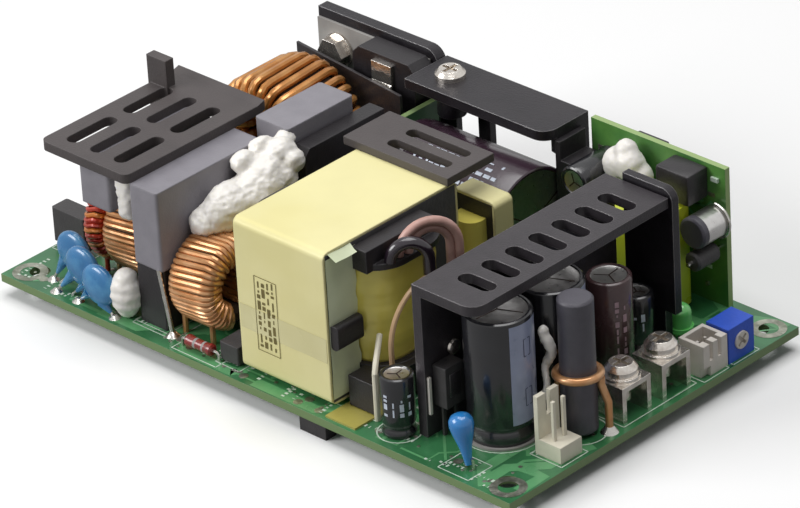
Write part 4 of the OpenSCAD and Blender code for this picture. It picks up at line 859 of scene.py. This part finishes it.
remeshed("silicone_disc", [(at(29.6, 4.0, z), r, r * 1.0, 2.0) for z, r in
                           [(2.0, 2.3), (3.2, 3.0), (4.8, 3.3), (6.4, 3.0), (7.8, 2.2)]], 0.4, M_SILI,
         rough=0.35, rscale=500, clip=(at(26, 0.3, 0), at(32.8, 9, 12)))
remeshed("silicone_control", [(at(x, y, z), r, r * 0.9, r) for x, y, z, r in
                              [(90.6, 70.2, 23.6, 3.3), (93.4, 69.8, 24.4, 3.2), (95.4, 70.4, 22.6, 2.6), (92.4, 70.2, 26.6, 2.4),
                               (88.4, 71.6, 22.6, 2.2)]],
         0.45, M_SILI, rough=0.3, rscale=600, clip=(at(85, 66, 18), at(99, 73.55, 30)))
remeshed("silicone_strand", [(at(115.6 + 0.7 * math.sin(z * 0.9), 22.6 + 0.12 * (z - 12) + 0.6 * math.sin(z * 0.5 + 1), z),
                              0.5 + 0.5 * (z / 20) ** 2, 0.55 + 0.6 * (z / 20) ** 2, 1.4)
                             for z in range(5, 20, 1)], 0.3, M_SILI, rough=0.25, rscale=900)

# winding of the main transformer: tape wrapped in layers, a little loose
lo, hi, d, c = size("transformer_winding")


def wrapped(name, node, node_mat, r_corner, amp, layers, lo=None, hi=None, seg=120, rows=36):
    lo0, hi0, d, c = size(node)
    lo, hi = lo or lo0, hi or hi0
    c = (lo + hi) / 2
    hx, hy = (hi.x - lo.x) / 2, (hi.y - lo.y) / 2
    rc = r_corner * MM
    ring = []
    for k in range(seg):
        a = TAU * k / seg
        # point of a rounded rectangle in direction a
        dx, dy = math.cos(a), math.sin(a)
        t = min((hx) / abs(dx) if abs(dx) > 1e-6 else 9, (hy) / abs(dy) if abs(dy) > 1e-6 else 9)
        p = Vector((dx * t, dy * t, 0))
        q = Vector((max(-hx + rc, min(hx - rc, p.x)), max(-hy + rc, min(hy - rc, p.y)), 0))
        dq = p - q
        if dq.length > 1e-9:
            p = q + dq.normalized() * rc
        ring.append((p, dq.normalized() if dq.length > 1e-9 else Vector((dx, dy, 0))))
    verts, faces = [], []
    for j in range(rows + 1):
        t = j / rows
        z = lo.z + (hi.z - lo.z) * t
        for k, (p, n) in enumerate(ring):
            q = Vector((c.x + p.x, c.y + p.y, z))
            w = math.sin(t * math.pi) ** 0.5
            wave = noise.noise(Vector((q.x * 60, q.y * 60, q.z * 160))) * amp
            step = 0.12 * math.floor((t * layers + 0.3 * noise.noise(Vector((q.x * 40, q.y * 40, 3)))) % 2)
            inset = -0.35 * (1 - w) - 0.25 + wave + step - 0.12
            q += n * inset * MM
            verts.append(q)
    for j in range(rows):
        for k in range(seg):
            k2 = (k + 1) % seg
            faces.append((j * seg + k, j * seg + k2, (j + 1) * seg + k2, (j + 1) * seg + k))
    for j, flip in ((0, True), (rows, False)):
        cap = tuple(j * seg + k for k in range(seg))
        faces.append(cap[::-1] if flip else cap)
    ob = mesh_piece(name, verts, faces, node_mat)
    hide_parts(node)
    return ob


wrapped("transformer_coil", "transformer_winding", M_TAPEY, 7, 0.55, 7)

# ------------------------------------------------------------------ leads of the main transformer
lo, hi, d, c = size("winding_leads")
M = Mesh()


def arch(start, r, a, zt, rad, mat, drop=0.0):
    a = math.radians(a)
    dv = Vector((math.cos(a), math.sin(a), 0)) * MM
    p0 = Vector(start)
    pts = []
    for i in range(17):
        t = math.pi - math.pi * i / 16
        q = p0 + dv * (r + r * math.cos(t)) + Vector((0, 0, r * math.sin(t) * MM))
        pts.append(q)
    end = pts[-1]
    for i in range(1, 7):
        pts.append(Vector((end.x, end.y, end.z + (B_HI.z - end.z) * i / 6)))
    M.tube(pts, rad * MM, mat, 12)


zt = B_HI.z + 27 * MM
arch(at(71 + 15.9, 20 - 3.2, 27), 5.6, 64, 27, 0.85, M_PINK)
arch(at(71 + 16.3, 20 - 1.2, 27), 3.9, 64, 27, 0.85, M_PINK)
arch(at(71 + 16.1, 20 - 5.6, 27), 3.4, 50, 27, 1.15, M_LEADB)
pts = []
for i in range(13):
    a = math.pi / 2 + math.pi / 2 * i / 12
    pts.append(at(71 + 20.5, 19 + 10 * math.cos(a), 13.5 + 10 * math.sin(a)))
for i in range(1, 5):
    pts.append(at(71 + 20.5, 9, 13.5 * (1 - i / 4)))
M.tube(pts, 0.5 * MM, M_LEADT, 8)
M.tube([at(90.3, 5.8, 0), at(90.3, 5.8, 5), at(90.3, 5.8, 9.4), at(89.6, 6.8, 10.6), at(86, 11.8, 13)], 0.55 * MM, M_IVORY, 8)
M.done("transformer_leads", "winding_leads")

# tape, folds and a plain striped label on the transformer's core
lo, hi, d, c = size("transformer_tape")
c_lo, c_hi, c_d, c_c = size("transformer_core")
M = Mesh()
skin = 0.12 * MM


def sheet(M, corner, u, v, nu, nv, normal, m, amp=0.1, lift=0.15, wave_u=0.0, freq=260):
    """A thin tape laid on a flat face: a slightly wrinkled grid with one or two wavy edges."""
    corner, u, v, normal = Vector(corner), Vector(u), Vector(v), Vector(normal).normalized()
    verts, faces = [], []
    for j in range(nv + 1):
        for i in range(nu + 1):
            q = corner + u * (i / nu) + v * (j / nv)
            if wave_u and i == nu:
                q += u.normalized() * noise.noise(q * 300) * wave_u * MM
            up_by = lift + amp * noise.noise(q * freq)
            verts.append(q + normal * up_by * MM)
    for j in range(nv):
        for i in range(nu):
            a = j * (nu + 1) + i
            faces.append((a, a + 1, a + nu + 2, a + nu + 1))
    k = len(M.v)
    M.add(verts, faces, m)
    return k


front = lo.y
x1, y0, z_top = lo.x, lo.y, hi.z
# a band of tape across the front face
sheet(M, (lo.x + 0.4 * MM, front, lo.z + d.z * 0.28), (d.x - 0.8 * MM, 0, 0), (0, 0, d.z * 0.16), 30, 6, (0, -1, 0),
      M_BAND, 0.05, 0.06)
# pale tape down the outer face of the front leg, with a wavy edge
leg_w = 7.3 * MM
side_x = max(c_hi.x, hi.x)
sheet(M, (side_x, lo.y + 0.4 * MM, B_HI.z + 2.2 * MM), (0, leg_w, 0), (0, 0, hi.z - B_HI.z - 3.4 * MM), 10, 40, (1, 0, 0),
      M_TAPEW, 0.16, 0.2, wave_u=1.1)
# a small fold at its top
sheet(M, (side_x - 0.5 * MM, lo.y + 1.2 * MM, hi.z - 0.4 * MM), (0, 5.5 * MM, 0), (2.4 * MM, 0, -1.2 * MM), 8, 5,
      (0.4, 0, 1), M_TAPEW, 0.25, 0.15, wave_u=0.8)
# label: a field of fine bars standing on end, unreadable and plain
rnd = random.Random(31)
lab_x, lab_z = lo.x + d.x * 0.24, lo.z + d.z * 0.20
for row in range(4):
    x = lab_x + row * 1.15 * MM
    z = lab_z
    while z < lab_z + 13 * MM:
        ln = rnd.choice((0.5, 0.8, 1.3, 1.8)) * MM
        M.ribbon([(x, front, z), (x, front, z + ln)], rnd.choice((0.3, 0.7, 0.7)) * MM, (0, -1, 0), M_LABEL, 0.0001)
        z += ln + rnd.choice((0.35, 0.5, 0.9)) * MM
for dx, dz, w in ((-0.9, -0.8, 15), (4.5, -0.8, 15)):
    M.ribbon([(lab_x + dx * MM, front, lab_z + dz * MM), (lab_x + dx * MM, front, lab_z + (dz + w) * MM)], 0.14 * MM,
             (0, -1, 0), M_LABEL, 0.0001)
for dz in (-0.8, 14.2):
    M.ribbon([(lab_x - 0.9 * MM, front, lab_z + dz * MM), (lab_x + 4.5 * MM, front, lab_z + dz * MM)], 0.14 * MM,
             (0, -1, 0), M_LABEL, 0.0001)
M.done("transformer_dressing")

# pad edge, inset frame and screw of the output rectifier
lo, hi, d, c = size("output_rectifier")
M = Mesh()
sx = lo.x
M.box((sx - 0.05 * MM, lo.y - 1.5 * MM, B_HI.z + 4.6 * MM), (sx + 0.5 * MM, lo.y - 0.9 * MM, B_HI.z + 12 * MM), M_WHITEP)
M.box((hi.x - 0.05 * MM, lo.y + 0.9 * MM, B_HI.z + 8 * MM), (hi.x + 0.12 * MM, hi.y - 0.9 * MM, B_HI.z + 12.6 * MM),
      M_ANOD, 0.1 * MM)
M.lathe([(0, 0.7 * MM), (0.9 * MM, 0.68 * MM), (1.35 * MM, 0.4 * MM), (1.5 * MM, 0)],
        at(101.5, 14.3, 15.2), (1, 0, 0), [M_STEEL], seg=24)
M.done("rectifier_details")

# ------------------------------------------------------------------ camera, floor, light
cam = bpy.data.cameras.new("camera")
cam_ob = bpy.data.objects.new("camera", cam)
bpy.context.scene.collection.objects.link(cam_ob)
right = Vector((0.72366, 0.68820, -0.05190))
up = Vector((-0.30685, 0.38819, 0.86900))
back = Vector((0.61819, -0.61293, 0.49209))
rot = Matrix((right, up, back)).transposed().to_4x4()
cam_ob.matrix_world = Matrix.Translation(Vector((0.66351, -0.65683, 0.53925))) @ rot
cam.lens = 267.836
cam.sensor_width = 36
cam.shift_x = 0.00598
cam.shift_y = -0.00235
cam.clip_end = 20
bpy.context.scene.camera = cam_ob

z0 = float(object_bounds()[0][2])
fm = bpy.data.meshes.new("floor")
R = 3.0
fm.from_pydata([(-R, -R, z0), (R, -R, z0), (R, R, z0), (-R, R, z0)], [], [(0, 1, 2, 3)])
floor = bpy.data.objects.new("floor", fm)
bpy.context.scene.collection.objects.link(floor)
f_mat = bpy.data.materials.new("floor_white")
f_mat.use_nodes = True
f_nodes, f_links = f_mat.node_tree.nodes, f_mat.node_tree.links
f_shader = f_nodes["Principled BSDF"]
f_shader.inputs["Roughness"].default_value = 0.9
# white to the camera, greyer to everything else, so that little light comes up from below
seen = f_nodes.new("ShaderNodeLightPath")
f_tone = f_nodes.new("ShaderNodeMapRange")
f_tone.inputs["To Min"].default_value = 0.32
f_tone.inputs["To Max"].default_value = 0.93
f_links.new(seen.outputs["Is Camera Ray"], f_tone.inputs["Value"])
f_links.new(f_tone.outputs["Result"], f_shader.inputs["Base Color"])
fm.materials.append(f_mat)


def area(name, loc, target, sx, sy, power, col=(1, 1, 1)):
    la = bpy.data.lights.new(name, "AREA")
    la.shape = "RECTANGLE"
    la.size, la.size_y, la.energy, la.color = sx, sy, power, col
    ob = bpy.data.objects.new(name, la)
    bpy.context.scene.collection.objects.link(ob)
    v = Vector(target) - Vector(loc)
    ob.location = loc
    ob.rotation_euler = v.to_track_quat("-Z", "Y").to_euler()
    return ob


area("key", (-0.5, -0.72, 0.5), (0, 0, 0.01), 0.6, 0.4, 6.3)
area("top", (0.0, 0.05, 0.9), (0, 0, 0.01), 0.8, 0.7, 6.6)
world = bpy.data.worlds.new("studio")
bpy.context.scene.world = world
world.use_nodes = True
world.node_tree.nodes["Background"].inputs["Color"].default_value = (1, 1, 1, 1)
w_nodes, w_links = world.node_tree.nodes, world.node_tree.links
w_path = w_nodes.new("ShaderNodeLightPath")
w_tone = w_nodes.new("ShaderNodeMapRange")
w_tone.inputs["To Min"].default_value = 0.16
w_tone.inputs["To Max"].default_value = 0.75
w_links.new(w_path.outputs["Is Glossy Ray"], w_tone.inputs["Value"])
w_links.new(w_tone.outputs["Result"], w_nodes["Background"].inputs["Strength"])
bpy.context.scene.view_settings.view_transform = "Standard"
